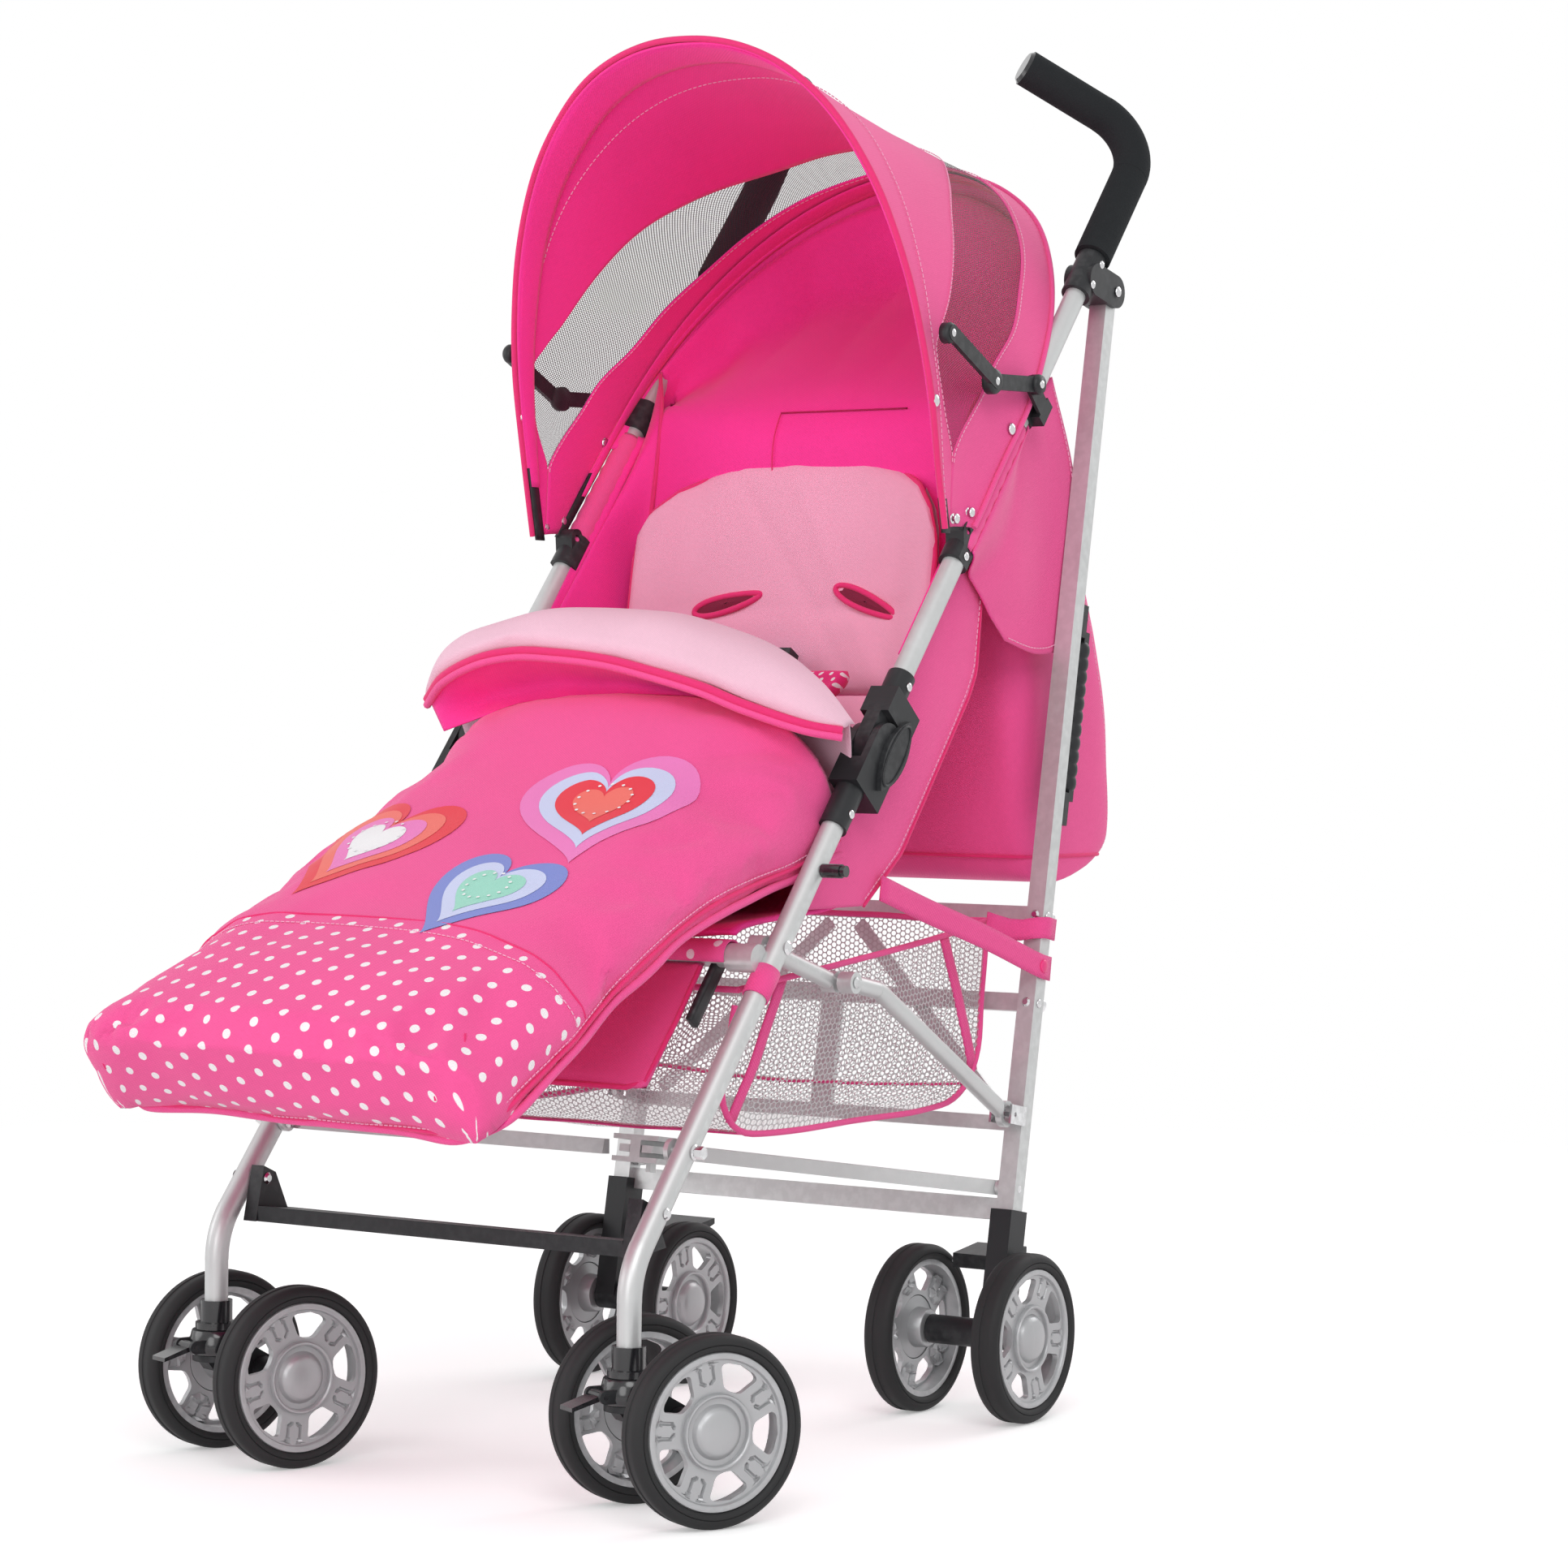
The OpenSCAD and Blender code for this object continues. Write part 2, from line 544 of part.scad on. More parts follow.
// The foot's eye is wide, because the strut rides loosely on the rear leg's pin
module seat_struts() color(silver) pair() {
  difference() {
    union() {
      bent_bar([at_side(knee), at_side(strut_bend), at_side(strut_foot)], 25, rail_d);
      x_rod(knee, side_x - eye_w / 2, side_x + eye_w / 2, eye_d);
      x_rod(strut_foot, side_x - eye_t / 2, side_x + eye_t / 2, 22);
    }
    x_rod(strut_foot, side_x - rail_d, side_x + rail_d, 14);
    for (side = [-1, 1]) translate([side * (eye_t / 2 + 5) + side_x, strut_foot[0], strut_foot[1]])
      cube([10, 26, 26], center = true);
    x_rod(knee, side_x - 30, side_x + 30, rivet_d + 2 * tube_gap);
  }
  rivet(knee, rail_x - rail_d / 2 - 0.1, side_x + rail_d / 2 + 0.1);
}
module brace_arm(p, x, d, q) {
  x_rod(p, x - tab_t / 2, x + tab_t / 2, d);
  reach([x - arm_thick / 2, p[0], p[1]], q) translate([-arm_w / 2, -arm_thick / 2, 0])
    cube([arm_w, arm_thick, norm(q - [x - arm_thick / 2, p[0], p[1]])]);
}
// The hub's frame: y runs down to the rear, along the line between the arms' bolts
module at_hub() translate([0, hub_at[0], hub_at[1]])
  rotate([atan2(arm_pivot[1] - front_bolt[1], arm_pivot[0] - front_bolt[0]), 0, 0]) children();
module front_arms() color(silver) pair() difference() {
  brace_arm(front_bolt, tab_x, 18, [hub_size[0] / 2 - 4, hub_at[0], hub_at[1]]);
  at_hub() translate([0, 40, 0]) cube([hub_size[0] + 20, hub_size[1] + 80, 60], center = true);
  x_rod(front_bolt, 0, 2 * side_x, pin_d + 2 * pin_gap);
  x_rod(front_bolt, 0, side_x - 13.5, 14);
}
// Each rear arm ends in a straight tongue that slides in the hub's channel
tongue = [10, hub_size[1] + 8, 6];
tongue_play = 3.9;
hub_web = 10;
module rear_arms() color(silver) pair() {
  difference() {
    brace_arm(arm_pivot, rear_tab_x, 13, [hub_web / 2 + 1 + tongue[0] / 2, hub_at[0] + hub_size[1] / 2 + 12, hub_at[1] - 5]);
    x_rod(arm_pivot, 0, 2 * side_x, pin_d + 2 * pin_gap);
  }
  at_hub() translate([hub_web / 2 + 1, -hub_size[1] / 2 + 1, -tongue[2] / 2]) cube([tongue[0], tongue[1] + 8, tongue[2]]);
}
module hub() color(silver) at_hub() {
  difference() {
    cube(hub_size, center = true);
    for (side = [-1, 1]) translate([side * (hub_web + hub_size[0]) / 2, 0, 0])
      cube([hub_size[0], 2 * hub_size[1], tongue[2] + 2 * tongue_play], center = true);
  }
  translate([0, 0, -hub_size[2] / 2 - 7]) cylinder(h = 8, d = 9, $fn = 6);
}

// ---- Casters ----
module caster(side) translate([side * side_x, 0, 0])
  rotate([0, 0, side > 0 ? left_swivel : right_swivel]) children();
axle_at = [trail, wheel_r];
lock_at = [-25, 92];
lock_half = 9;
module caster_fork(side) color(black) caster(side) difference() {
  union() {
    translate([0, 0, collar_z[0] - 24 - move_gap]) cylinder(h = 24, d = 36);
    translate([0, 0, collar_z[0] - 4]) cylinder(h = pin_len - 20, d = 10);
    side_plate(-fork_w / 2, fork_w / 2)
      polygon([[-14, 82], [-6, 72], [trail - 10, wheel_r - 8], [trail + 8, wheel_r], [trail + 6, wheel_r + 10], [16, 96], [-14, 96]]);
    for (x = [-lock_half - 3.5, lock_half + 0.5]) side_plate(x, x + 3) link(lock_at, lock_at + [14, 0], 5);
    x_rod(axle_at, -front_pair / 2 + tyre_w / 2 + 1, front_pair / 2 - tyre_w / 2 - 1, 20);
  }
  x_rod(axle_at, -front_pair, front_pair, axle_d + 2 * tube_gap);
  x_rod(lock_at, -front_pair, front_pair, rivet_d + 2 * pin_gap);
}
module left_caster_fork() caster_fork(1);
module right_caster_fork() caster_fork(-1);
module caster_axle(side) color(silver) caster(side) x_rod(axle_at, -front_pair / 2 - 5.5, front_pair / 2 + 5.5, axle_d);
module left_caster_axle() caster_axle(1);
module right_caster_axle() caster_axle(-1);
module swivel_lock(side) color(black) caster(side) {
  x_rod(lock_at, -lock_half, lock_half, 8);
  x_rod(lock_at, -lock_half - 3.5, lock_half + 3.5, rivet_d);
  side_plate(-lock_half, lock_half) polygon([lock_at + [0, -2], lock_at + [0, 2], lock_at + [-26, -6], lock_at + [-26, -9]]);
}
module left_swivel_lock() swivel_lock(1);
module right_swivel_lock() swivel_lock(-1);

// ---- Wheels ----
// Made about Z with the outer face up
rim_r = rim_d / 2;
hub_ring_r = 27.6;
cap_r = 18;
rim_face = 11;
edge_r = 7;
module tyre() color(black) rotate_extrude() polygon(concat(
  [[rim_r, -tyre_w / 2 + 3]],
  [[rim_r + 4, -tyre_w / 2]],
  arc([wheel_r - edge_r, -tyre_w / 2 + edge_r], edge_r, -90, 0, 5),
  arc([wheel_r - edge_r, tyre_w / 2 - edge_r], edge_r, 0, 90, 5),
  [[rim_r + 4, tyre_w / 2]],
  [[rim_r, tyre_w / 2 - 3]]));
module rim() color(rim_grey) difference() {
  union() {
    rotate_extrude() polygon([[rim_r - 5, -9], [rim_r - 0.05, -9], [rim_r - 0.05, rim_face - 2], [rim_r - 3, rim_face], [rim_r - 7, rim_face - 3]]);
    translate([0, 0, 1]) cylinder(h = 5, r = rim_r - 4);
    translate([0, 0, -tyre_w / 2 + 1]) cylinder(h = tyre_w / 2 + 5, r = cap_r - 2);
    cylinder(h = rim_face - 1, r = hub_ring_r);
  }
  translate([0, 0, 6]) difference() {
    cylinder(h = 20, r = hub_ring_r - 3);
    translate([0, 0, -1]) cylinder(h = 22, r = cap_r);
  }
  for (i = [0:spokes - 1]) rotate([0, 0, (i + 0.5) * 360 / spokes]) window(360 / spokes);
  translate([0, 0, -tyre_w]) cylinder(h = tyre_w + 6, d = axle_d + 2 * pin_gap);
}
module window(step) translate([0, 0, -1]) linear_extrude(30) polygon(concat(
  arc([0, 0], rim_r - 8, -step * 0.3, step * 0.3, 6),
  arc([0, 0], hub_ring_r + 3.5, step * 0.19, -step * 0.19, 3)));
module wheel() {
  tyre();
  rim();
}
// dir is 1 when the wheel's face looks to +X
module on_axle(x, p, dir) translate([x, p[0], p[1]]) rotate([0, 90 * dir, 0]) children();
module front_wheel(side, dir) caster(side) on_axle(dir * front_pair / 2, axle_at, dir) wheel();
module rear_wheel(x, dir) on_axle(x, leg_point(axle_t), dir) wheel();
module left_front_outer_wheel() front_wheel(1, 1);
module left_front_inner_wheel() front_wheel(1, -1);
module right_front_outer_wheel() front_wheel(-1, -1);
module right_front_inner_wheel() front_wheel(-1, 1);
module left_rear_outer_wheel() rear_wheel(side_x + outer_wheel_x, 1);
module left_rear_inner_wheel() rear_wheel(side_x + outer_wheel_x - rear_pair, -1);
module right_rear_outer_wheel() rear_wheel(-side_x - outer_wheel_x, -1);
module right_rear_inner_wheel() rear_wheel(-side_x - outer_wheel_x + rear_pair, 1);

// ---- Canopy ----
// The arch in its own plane: x is the radius from the pivot axis, y the width
square = 2 / 2.3;
function arch(half, top) = concat(
  [[hood_straight, half]],
  [for (i = [1:13]) let (a = i * 180 / 14)
    [hood_straight + (top - hood_straight) * pow(sin(a), square), sign(cos(a)) * half * pow(abs(cos(a)), square)]],
  [[hood_straight, -half]]);
module arch_band(half, top, thick, foot) {
  inner = arch(half - thick, top - thick);
  polygon(concat(
    [[foot, half]], arch(half, top), [[foot, -half], [foot, -half + thick]],
    [for (i = [len(inner) - 1:-1:0]) inner[i]], [[foot, half - thick]]));
}
// Turns the arch's plane about the pivot axis by an angle to the rear of upright
module hood_plane(angle) translate([0, hood_pivot[0], hood_pivot[1]]) rotate([0, 90, 0])
  rotate([0, 0, 180 - angle]) children();
module hood_sweep(a0, a1, half, top, foot) hood_plane(a1)
  rotate_extrude(angle = a1 - a0) arch_band(half, top, skin, foot);
module bow(angle, foot) hood_plane(angle) translate([0, bow_w / 2, 0]) rotate([90, 0, 0])
  linear_extrude(bow_w) arch_band(bow_half, hood_r - skin - cloth_gap, bow_thick, foot);
module front_bow() color(black) difference() {
  union() {
    bow(-front_bow_lean, 0);
    pair() x_rod(hood_pivot, bow_half - bow_thick, bow_half, 20);
  }
  x_rod(hood_pivot, -2 * side_x, 2 * side_x, pin_d + 2 * pin_gap);
}
module rear_bow() color(black) bow(rear_bow_lean, 52);
module canopy() color(pink) hood_sweep(-front_bow_lean - 2, rear_bow_lean + 2, hood_half, hood_r, 30);
module rear_hood() color(pink) hood_sweep(rear_bow_lean + 6, 66, side_x - 13, hood_r - 26, 80);
module stay_bar(p, q, x) difference() {
  side_plate(x - stay_t / 2, x + stay_t / 2) link(p, q, boss_r);
  x_rod(p, 0, 2 * side_x, rivet_d + 2 * pin_gap);
  x_rod(q, 0, 2 * side_x, rivet_d + 2 * pin_gap);
}
module front_stays() color(black) pair() {
  stay_bar(stay_knee, stay_front, stay_x + stay_t + move_gap);
  x_rod(stay_knee, stay_x - stay_t / 2, stay_x + stay_t * 1.5 + move_gap, rivet_d);
}
module rear_stays() color(black) pair() {
  stay_bar(stay_rear, stay_knee, stay_x);
}

// ---- Soft parts ----
seat_front = seat_bar_at + [6, 13];
seat_mid = [336, 430];
bight = [392, 466];
seat_path = [seat_front, seat_mid, bight, recline_at - [6, 10]];
panel_x = [side_x - tube_d / 2 - 3.5, side_x - tube_d / 2 - move_gap];
module seat() color(deep_pink) {
  layer(seat_path, 0, seat_thick, seat_half);
  layer([seat_mid, bight, seat_path[3]], 0, seat_thick, panel_x[1]);
  pair() side_plate(panel_x[0], panel_x[1]) polygon([
    along(sleeve_lo_s - 80, 18), along(sleeve_lo_s - 8, 18), along(sleeve_lo_s - 4, 32),
    panel_seam[0], panel_seam[1], seat_path[3], bight + [0, 4], seat_mid]);
}
// The upper side panels hang from the push tubes, above a seam at the folding joint
panel_seam = [along(joint_s, 32), [508, 616]];
module seat_sides() color(deep_pink) pair() side_plate(panel_x[0], panel_x[1]) polygon([
  panel_seam[0] + [0, 0.8], along(sleeve_hi_s + 4, 32), along(sleeve_hi_s + 6, 18), along(845, 18),
  [535, 767], panel_seam[1] + [0, 0.8]]);
module back_frame() translate([0, recline_at[0], recline_at[1]]) rotate([-recline_lean, 0, 0]) children();
module seat_back() color(deep_pink) back_frame() {
  translate([-back_half, 2, 8]) cube([2 * back_half, back_thick, back_h]);
  rotate([0, 90, 0]) cylinder(h = 2 * back_half, d = 12, center = true);
  translate([-back_half, 2, 0]) cube([2 * back_half, 4, 10]);
}
module seat_liner() color(light_pink) {
  back_frame() difference() {
    translate([0, 1.5, 24]) rotate([90, 0, 0]) linear_extrude(liner_thick)
      intersection() {
        translate([-liner_half, 0]) square([2 * liner_half, 200]);
        translate([0, -70]) circle(r = 260, $fn = 96);
      }
    for (side = [-1, 1]) translate([side * 68 - 32, -20, 112]) cube([64, 40, 5]);
  }
  layer([[250, seat_front[1] + (seat_mid[1] - seat_front[1]) * (250 - seat_front[0]) / (seat_mid[0] - seat_front[0])],
    seat_mid, bight, seat_path[3] - [6, 7.4]], seat_thick + 0.4, seat_thick + 0.4 + liner_thick, liner_half);
}
module back_pouch() color(pink) difference() {
  side_plate(-172, 172) polygon([[606, 797], [676, 812], [706, 750], [730, 686], [756, 610], [790, 478], [688, 440], [620, 470], [600, 620]]);
  side_plate(-169, 169) polygon([[580, 860], [674, 806], [703, 748], [727, 685], [753, 609], [786, 480], [688, 443], [612, 474], [560, 500]]);
}
crotch_at = [424, 536];
buckle_at = [456, 612];
module harness() color(deep_pink) {
  slab(crotch_at, buckle_at - [3, 6], 20, 10);
  pair() translate([0, 0, 0]) reach([28, buckle_at[0] + 2, buckle_at[1]], [146, 424, 560])
    translate([-10, -1, 0]) cube([20, 2.5, 140]);
}
module buckle() color(black) translate([0, buckle_at[0], buckle_at[1]]) rotate([-30, 0, 0]) difference() {
  translate([-24, -2, 0]) cube([48, 14, 30]);
  translate([0, 8, 15]) rotate([90, 0, 0]) cylinder(h = 30, d = 18 + 2 * pin_gap);
}
module buckle_button() color(deep_pink) translate([0, buckle_at[0], buckle_at[1]]) rotate([-30, 0, 0])
  translate([0, 3.5, 15]) rotate([90, 0, 0]) cylinder(h = 7, d = 18);

muff_out = [[-149, 285], [-186, 345], [-180, 358], [0, 430], [227, 548], [262, 560],
  [300, 470], [240, 452], [120, 428], [-2, 376], [-34, 353]];
muff_in = [[-143, 300], [-173, 346], [-170, 350], [4, 419], [232, 537], [310, 580],
  [320, 482], [240, 464], [118, 440], [-6, 387], [-38, 364]];
module footmuff() color(pink) difference() {
  side_plate(-muff_half, muff_half) polygon(muff_out);
  side_plate(-muff_half + muff_pad, muff_half - muff_pad) polygon(muff_in);
}
module footmuff_flap() color(light_pink) {
  slab([231, 551.5], [258, 655], flap_half, muff_pad);
  slab([206, 645], [262, 655], flap_half - 30, 8);
}
// Narrow enough to pass between the folding brace arms
calf_half = 144;
calf_drop = 124;
module calf_rest() color(pink) translate([0, seat_bar_at[0], seat_bar_at[1]]) rotate([-lean, 0, 0]) difference() {
  union() {
    translate([-calf_half, -8, -calf_drop]) cube([2 * calf_half, 12, calf_drop - 8]);
    rotate([0, 90, 0]) cylinder(h = 2 * calf_half, d = seat_bar_d + 8, center = true);
  }
  rotate([0, 90, 0]) cylinder(h = 400, d = seat_bar_d + 2 * pin_gap, center = true);
}
basket_out = [[188, 372], [167, 285], [200, 262], [500, 262], [548, 300], [566, 412], [400, 398]];
module basket() color(mesh_grey) difference() {
  side_plate(-basket_half, basket_half) polygon(basket_out);
  side_plate(-basket_half + mesh, basket_half - mesh)
    polygon([[191, 373], [170, 286], [201, 264.5], [499, 264.5], [545.5, 301], [563.5, 414], [520, 440], [191, 440]]);
}

stand() front_tubes();
stand() push_tubes();
stand() lower_joints();
stand() upper_joints();
stand() joint_pads();
stand() grips();
stand() grip_plugs();
stand() handle_brackets();
stand() seat_bar();
stand() footrest();
stand() canopy_clamps();
stand() stay_clamps();
stand() frame_rivets();
stand() caster_collars();
stand() rear_legs();
stand() rear_bars();
stand() rear_braces();
stand() rear_housings();
stand() rear_axles();
stand() rear_rivets();
stand() brake_pedals();
stand() carry_handle();
stand() seat_rails();
stand() seat_struts();
stand() front_arms();
stand() hub();
stand() rear_arms();
stand() left_caster_fork();
stand() right_caster_fork();
stand() left_caster_axle();
stand() right_caster_axle();
stand() left_swivel_lock();
stand() right_swivel_lock();
stand() left_front_outer_wheel();
stand() left_front_inner_wheel();
stand() right_front_outer_wheel();
stand() right_front_inner_wheel();
stand() left_rear_outer_wheel();
stand() left_rear_inner_wheel();
stand() right_rear_outer_wheel();
stand() right_rear_inner_wheel();
stand() front_bow();
stand() rear_bow();
stand() canopy();
stand() rear_hood();
stand() front_stays();
stand() rear_stays();
stand() seat();
stand() seat_sides();
stand() seat_back();
stand() back_pouch();
stand() seat_liner();
stand() harness();
stand() buckle();
stand() buckle_button();
stand() footmuff();
stand() footmuff_flap();
stand() calf_rest();
stand() basket();
stand() fold_stud();
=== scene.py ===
# %% [markdown]
# # An umbrella-fold stroller
# A light pushchair: two round side tubes, two square rear legs, four pairs of small
# wheels, and a good deal of sewn cloth. The hard parts come ready in the frame that is
# loaded first. This lesson gives them their finishes, and makes the wheels and every
# sewn piece anew, in the same place and at the same size.

# %% Load the frame and keep its box
import bpy, bmesh, math
from mathutils import Vector, Matrix, noise
from mathutils.bvhtree import BVHTree


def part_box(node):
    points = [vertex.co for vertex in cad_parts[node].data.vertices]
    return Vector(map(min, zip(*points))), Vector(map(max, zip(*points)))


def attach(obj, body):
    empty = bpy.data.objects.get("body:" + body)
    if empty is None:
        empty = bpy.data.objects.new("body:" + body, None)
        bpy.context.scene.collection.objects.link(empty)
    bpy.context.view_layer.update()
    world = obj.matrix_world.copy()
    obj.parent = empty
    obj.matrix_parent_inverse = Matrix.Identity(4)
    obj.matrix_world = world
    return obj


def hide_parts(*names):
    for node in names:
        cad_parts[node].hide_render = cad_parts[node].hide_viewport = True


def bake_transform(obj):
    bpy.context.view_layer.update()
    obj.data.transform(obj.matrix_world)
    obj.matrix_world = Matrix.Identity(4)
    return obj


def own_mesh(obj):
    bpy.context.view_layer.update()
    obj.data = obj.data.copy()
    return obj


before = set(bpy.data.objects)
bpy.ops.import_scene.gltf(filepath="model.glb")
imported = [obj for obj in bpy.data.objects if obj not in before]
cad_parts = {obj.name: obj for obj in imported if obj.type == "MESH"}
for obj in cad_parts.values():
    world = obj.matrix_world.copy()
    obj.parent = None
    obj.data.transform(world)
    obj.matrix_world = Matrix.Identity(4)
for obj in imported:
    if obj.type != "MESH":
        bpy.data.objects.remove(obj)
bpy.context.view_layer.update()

# %% [markdown]
# ## Places
# The maker's drawing has its zero on the floor, midway between the side tubes and under
# their feet. The frame has its zero under the middle of the whole stroller, so one helper
# turns drawing millimetres into frame metres. Two more give points along the side tube
# and down the rear leg, because most cloth is hung from them. Where a place is a pair of
# numbers, it is (y, z) on the drawing's side view.

# %% Drawing places
MIDDLE = Vector((16.54, 315.78, 0))
LEAN, LEG_LEAN = math.radians(40.15), math.radians(10.6)
SIDE = 195                    # from the middle to a side tube
PIVOT = (693.80, 948.42)      # where the push tube and the rear leg meet
AXLE_DOWN = 893.67            # from that pivot down the leg to the rear axle
SIDES = ((1, "left"), (-1, "right"))

def at(x, y, z):
    """A place of the drawing, in metres of the frame."""
    return (Vector((x, y, z)) - MIDDLE) / 1000

def along(s, across=0):
    """(y, z) at s up the side tube, and across to its rear."""
    return (s * math.sin(LEAN) + across * math.cos(LEAN), 178.7 + s * math.cos(LEAN) - across * math.sin(LEAN))

def down_leg(t, across=0):
    """(y, z) at t down the rear leg, and across to its rear."""
    return (PIVOT[0] - t * math.sin(LEG_LEAN) + across * math.cos(LEG_LEAN),
            PIVOT[1] - t * math.cos(LEG_LEAN) - across * math.sin(LEG_LEAN))

low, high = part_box("rear_axles")
print("drawing middle checked against the rear axles:", tuple(round(v, 4) for v in (low + high) / 2),
      tuple(round(v, 4) for v in at(0, *down_leg(AXLE_DOWN))))

def leaned(x, foot, lean, local_y, local_z):
    """A place given in a plane that leans back from its foot."""
    return at(x, foot[0] + local_y * math.cos(lean) + local_z * math.sin(lean),
              foot[1] - local_y * math.sin(lean) + local_z * math.cos(lean))

TUBE_WAY = Vector((0, math.sin(LEAN), math.cos(LEAN)))
HOOD_MIDDLE = at(0, 450, 800)

def mix(a, b, t):
    """The place or number at a share t of the way from a to b."""
    return a + (b - a) * t

def shares(n):
    """Even steps from 0 to 1."""
    return [k / n for k in range(n + 1)]

def smooth(t, a, b):
    """Goes from 0 at a to 1 at b, gently at both ends."""
    t = min(max((t - a) / (b - a), 0), 1)
    return t * t * (3 - 2 * t)

def table(rows, t):
    """Reads a small table of (t, values...) with straight lines between its rows."""
    if t <= rows[0][0]:
        return rows[0][1:]
    for p, q in zip(rows, rows[1:]):
        if t <= q[0]:
            k = (t - p[0]) / (q[0] - p[0])
            return tuple(mix(x, y, k) for x, y in zip(p[1:], q[1:]))
    return rows[-1][1:]

def eased(rows, t):
    """The same, on a smooth curve through the rows."""
    n = len(rows)
    i = next((i for i in range(n - 1) if t <= rows[i + 1][0]), n - 2)
    p0, p1, p2, p3 = rows[max(i - 1, 0)], rows[i], rows[i + 1], rows[min(i + 2, n - 1)]
    k = min(max((t - p1[0]) / (p2[0] - p1[0]), 0), 1)
    out = []
    for a, b, c, d in zip(p0[1:], p1[1:], p2[1:], p3[1:]):
        m1 = (c - a) / max(p2[0] - p0[0], 1e-6) * (p2[0] - p1[0])
        m2 = (d - b) / max(p3[0] - p1[0], 1e-6) * (p2[0] - p1[0])
        out.append((2 * k**3 - 3 * k**2 + 1) * b + (k**3 - 2 * k**2 + k) * m1 + (3 * k**2 - 2 * k**3) * c
                   + (k**3 - k**2) * m2)
    return tuple(out)

def spaced(points):
    """A list of points as table rows, with t from 0 to 1 by length."""
    total, rows = 0, [(0.0, *points[0])]
    for p, q in zip(points, points[1:]):
        total += math.dist(p, q)
        rows.append((total, *q))
    return [(r[0] / total, *r[1:]) for r in rows]

# %% [markdown]
# ## Finishes
# Every finish is mixed from nodes, so it stays sharp at any distance.
# Three effects are used again and again, and each is built once as a node group: the
# grain of woven cloth, the soft mottling and scuffs of moulded or drawn parts, and the
# bright line that handling leaves along a hard edge.

# %% Node helpers
def feed(tree, holder, values):
    """Gives each named socket a link to another one, a number or a colour."""
    for key, value in values.items():
        socket = holder.inputs[key]
        if isinstance(value, bpy.types.NodeSocket):
            tree.links.new(value, socket)
        elif socket.type == "RGBA" and len(value) == 3:
            socket.default_value = (*value, 1)
        else:
            socket.default_value = value

def node(tree, kind, inputs=None, **settings):
    made = tree.nodes.new("ShaderNode" + kind)
    for key, value in settings.items():
        setattr(made, key, value)
    feed(tree, made, inputs or {})
    return made

def sums(tree, how, *values, clamp=False):
    return node(tree, "Math", dict(enumerate(values)), operation=how, use_clamp=clamp).outputs[0]

def noisy(tree, place, scale, detail):
    return node(tree, "TexNoise", {"Vector": place, "Scale": scale, "Detail": detail}).outputs["Fac"]

def ranged(tree, value, low, high):
    return node(tree, "MapRange", {"Value": value, "From Min": low, "From Max": high}).outputs[0]

def new_group(name, numbers, outputs):
    """Starts a node group that takes a place and some numbers."""
    tree = bpy.data.node_groups.new(name, "ShaderNodeTree")
    tree.interface.new_socket("Vector", in_out="INPUT", socket_type="NodeSocketVector")
    for label, value in numbers.items():
        tree.interface.new_socket(label, in_out="INPUT", socket_type="NodeSocketFloat").default_value = value
    for label in outputs:
        tree.interface.new_socket(label, in_out="OUTPUT", socket_type="NodeSocketFloat")
    return tree, tree.nodes.new("NodeGroupInput").outputs, tree.nodes.new("NodeGroupOutput")

# %% Grain of woven cloth
tree, given, end = new_group("cloth_grain", {"Threads": 260.0, "Mottle": 0.1}, ["Shade", "Height"])
place = given["Vector"]
turned = node(tree, "Mapping", {"Vector": place, "Rotation": (0.6, 1.1, 1.9)}).outputs[0]
warp, weft = (node(tree, "TexWave", {"Vector": way, "Scale": given["Threads"], "Distortion": 0.6, "Detail": 1.0},
                   bands_direction="DIAGONAL").outputs["Fac"] for way in (place, turned))
threads = sums(tree, "MULTIPLY", warp, weft)
slubs = noisy(tree, place, 420.0, 2.0)
soft = sums(tree, "MULTIPLY", sums(tree, "SUBTRACT", noisy(tree, place, 11.0, 3.0), 0.5), given["Mottle"])
fine = sums(tree, "MULTIPLY_ADD", threads, 0.10, 0.95)
fine = sums(tree, "MULTIPLY_ADD", slubs, 0.08, sums(tree, "SUBTRACT", fine, 0.04))
feed(tree, end, {"Shade": sums(tree, "ADD", fine, soft), "Height": sums(tree, "MULTIPLY_ADD", slubs, 0.5, threads)})

# %% Mottling and scuffs of hard parts
tree, given, end = new_group("handled", {"Grain": 900.0, "Scuffs": 0.3}, ["Shade", "Dull", "Height"])
place = given["Vector"]
cloud = noisy(tree, place, 26.0, 4.0)
long = node(tree, "Mapping", {"Vector": place, "Scale": (60.0, 400.0, 14.0), "Rotation": (0.7, 0.2, 0.4)})
scuff = sums(tree, "MULTIPLY", ranged(tree, noisy(tree, long.outputs[0], 1.0, 4.0), 0.62, 0.8), given["Scuffs"])
shade = sums(tree, "MULTIPLY_ADD", cloud, 0.12, 0.94)
feed(tree, end, {"Shade": sums(tree, "ADD", shade, sums(tree, "MULTIPLY", scuff, 0.25)),
                 "Dull": sums(tree, "MULTIPLY_ADD", cloud, 0.14, scuff),
                 "Height": noisy(tree, place, given["Grain"], 2.0)})

# %% Bright line along a handled edge
tree, given, end = new_group("edge_wear", {"Amount": 0.5}, ["Worn"])
sharp = ranged(tree, node(tree, "NewGeometry").outputs["Pointiness"], 0.53, 0.62)
patch = ranged(tree, noisy(tree, given["Vector"], 140.0, 3.0), 0.4, 0.65)
feed(tree, end, {"Worn": sums(tree, "MULTIPLY", sums(tree, "MULTIPLY", sharp, patch), given["Amount"], clamp=True)})
print("effects:", sorted(g.name for g in bpy.data.node_groups))

# %% [markdown]
# A cloth finish is a colour times the grain's shade, a fine bump, and a little sheen.
# Printed dots are a pattern on the piece's own map, which is in metres, so a dot is the
# same size on every piece. Open mesh is cloth with round holes cut by its alpha.

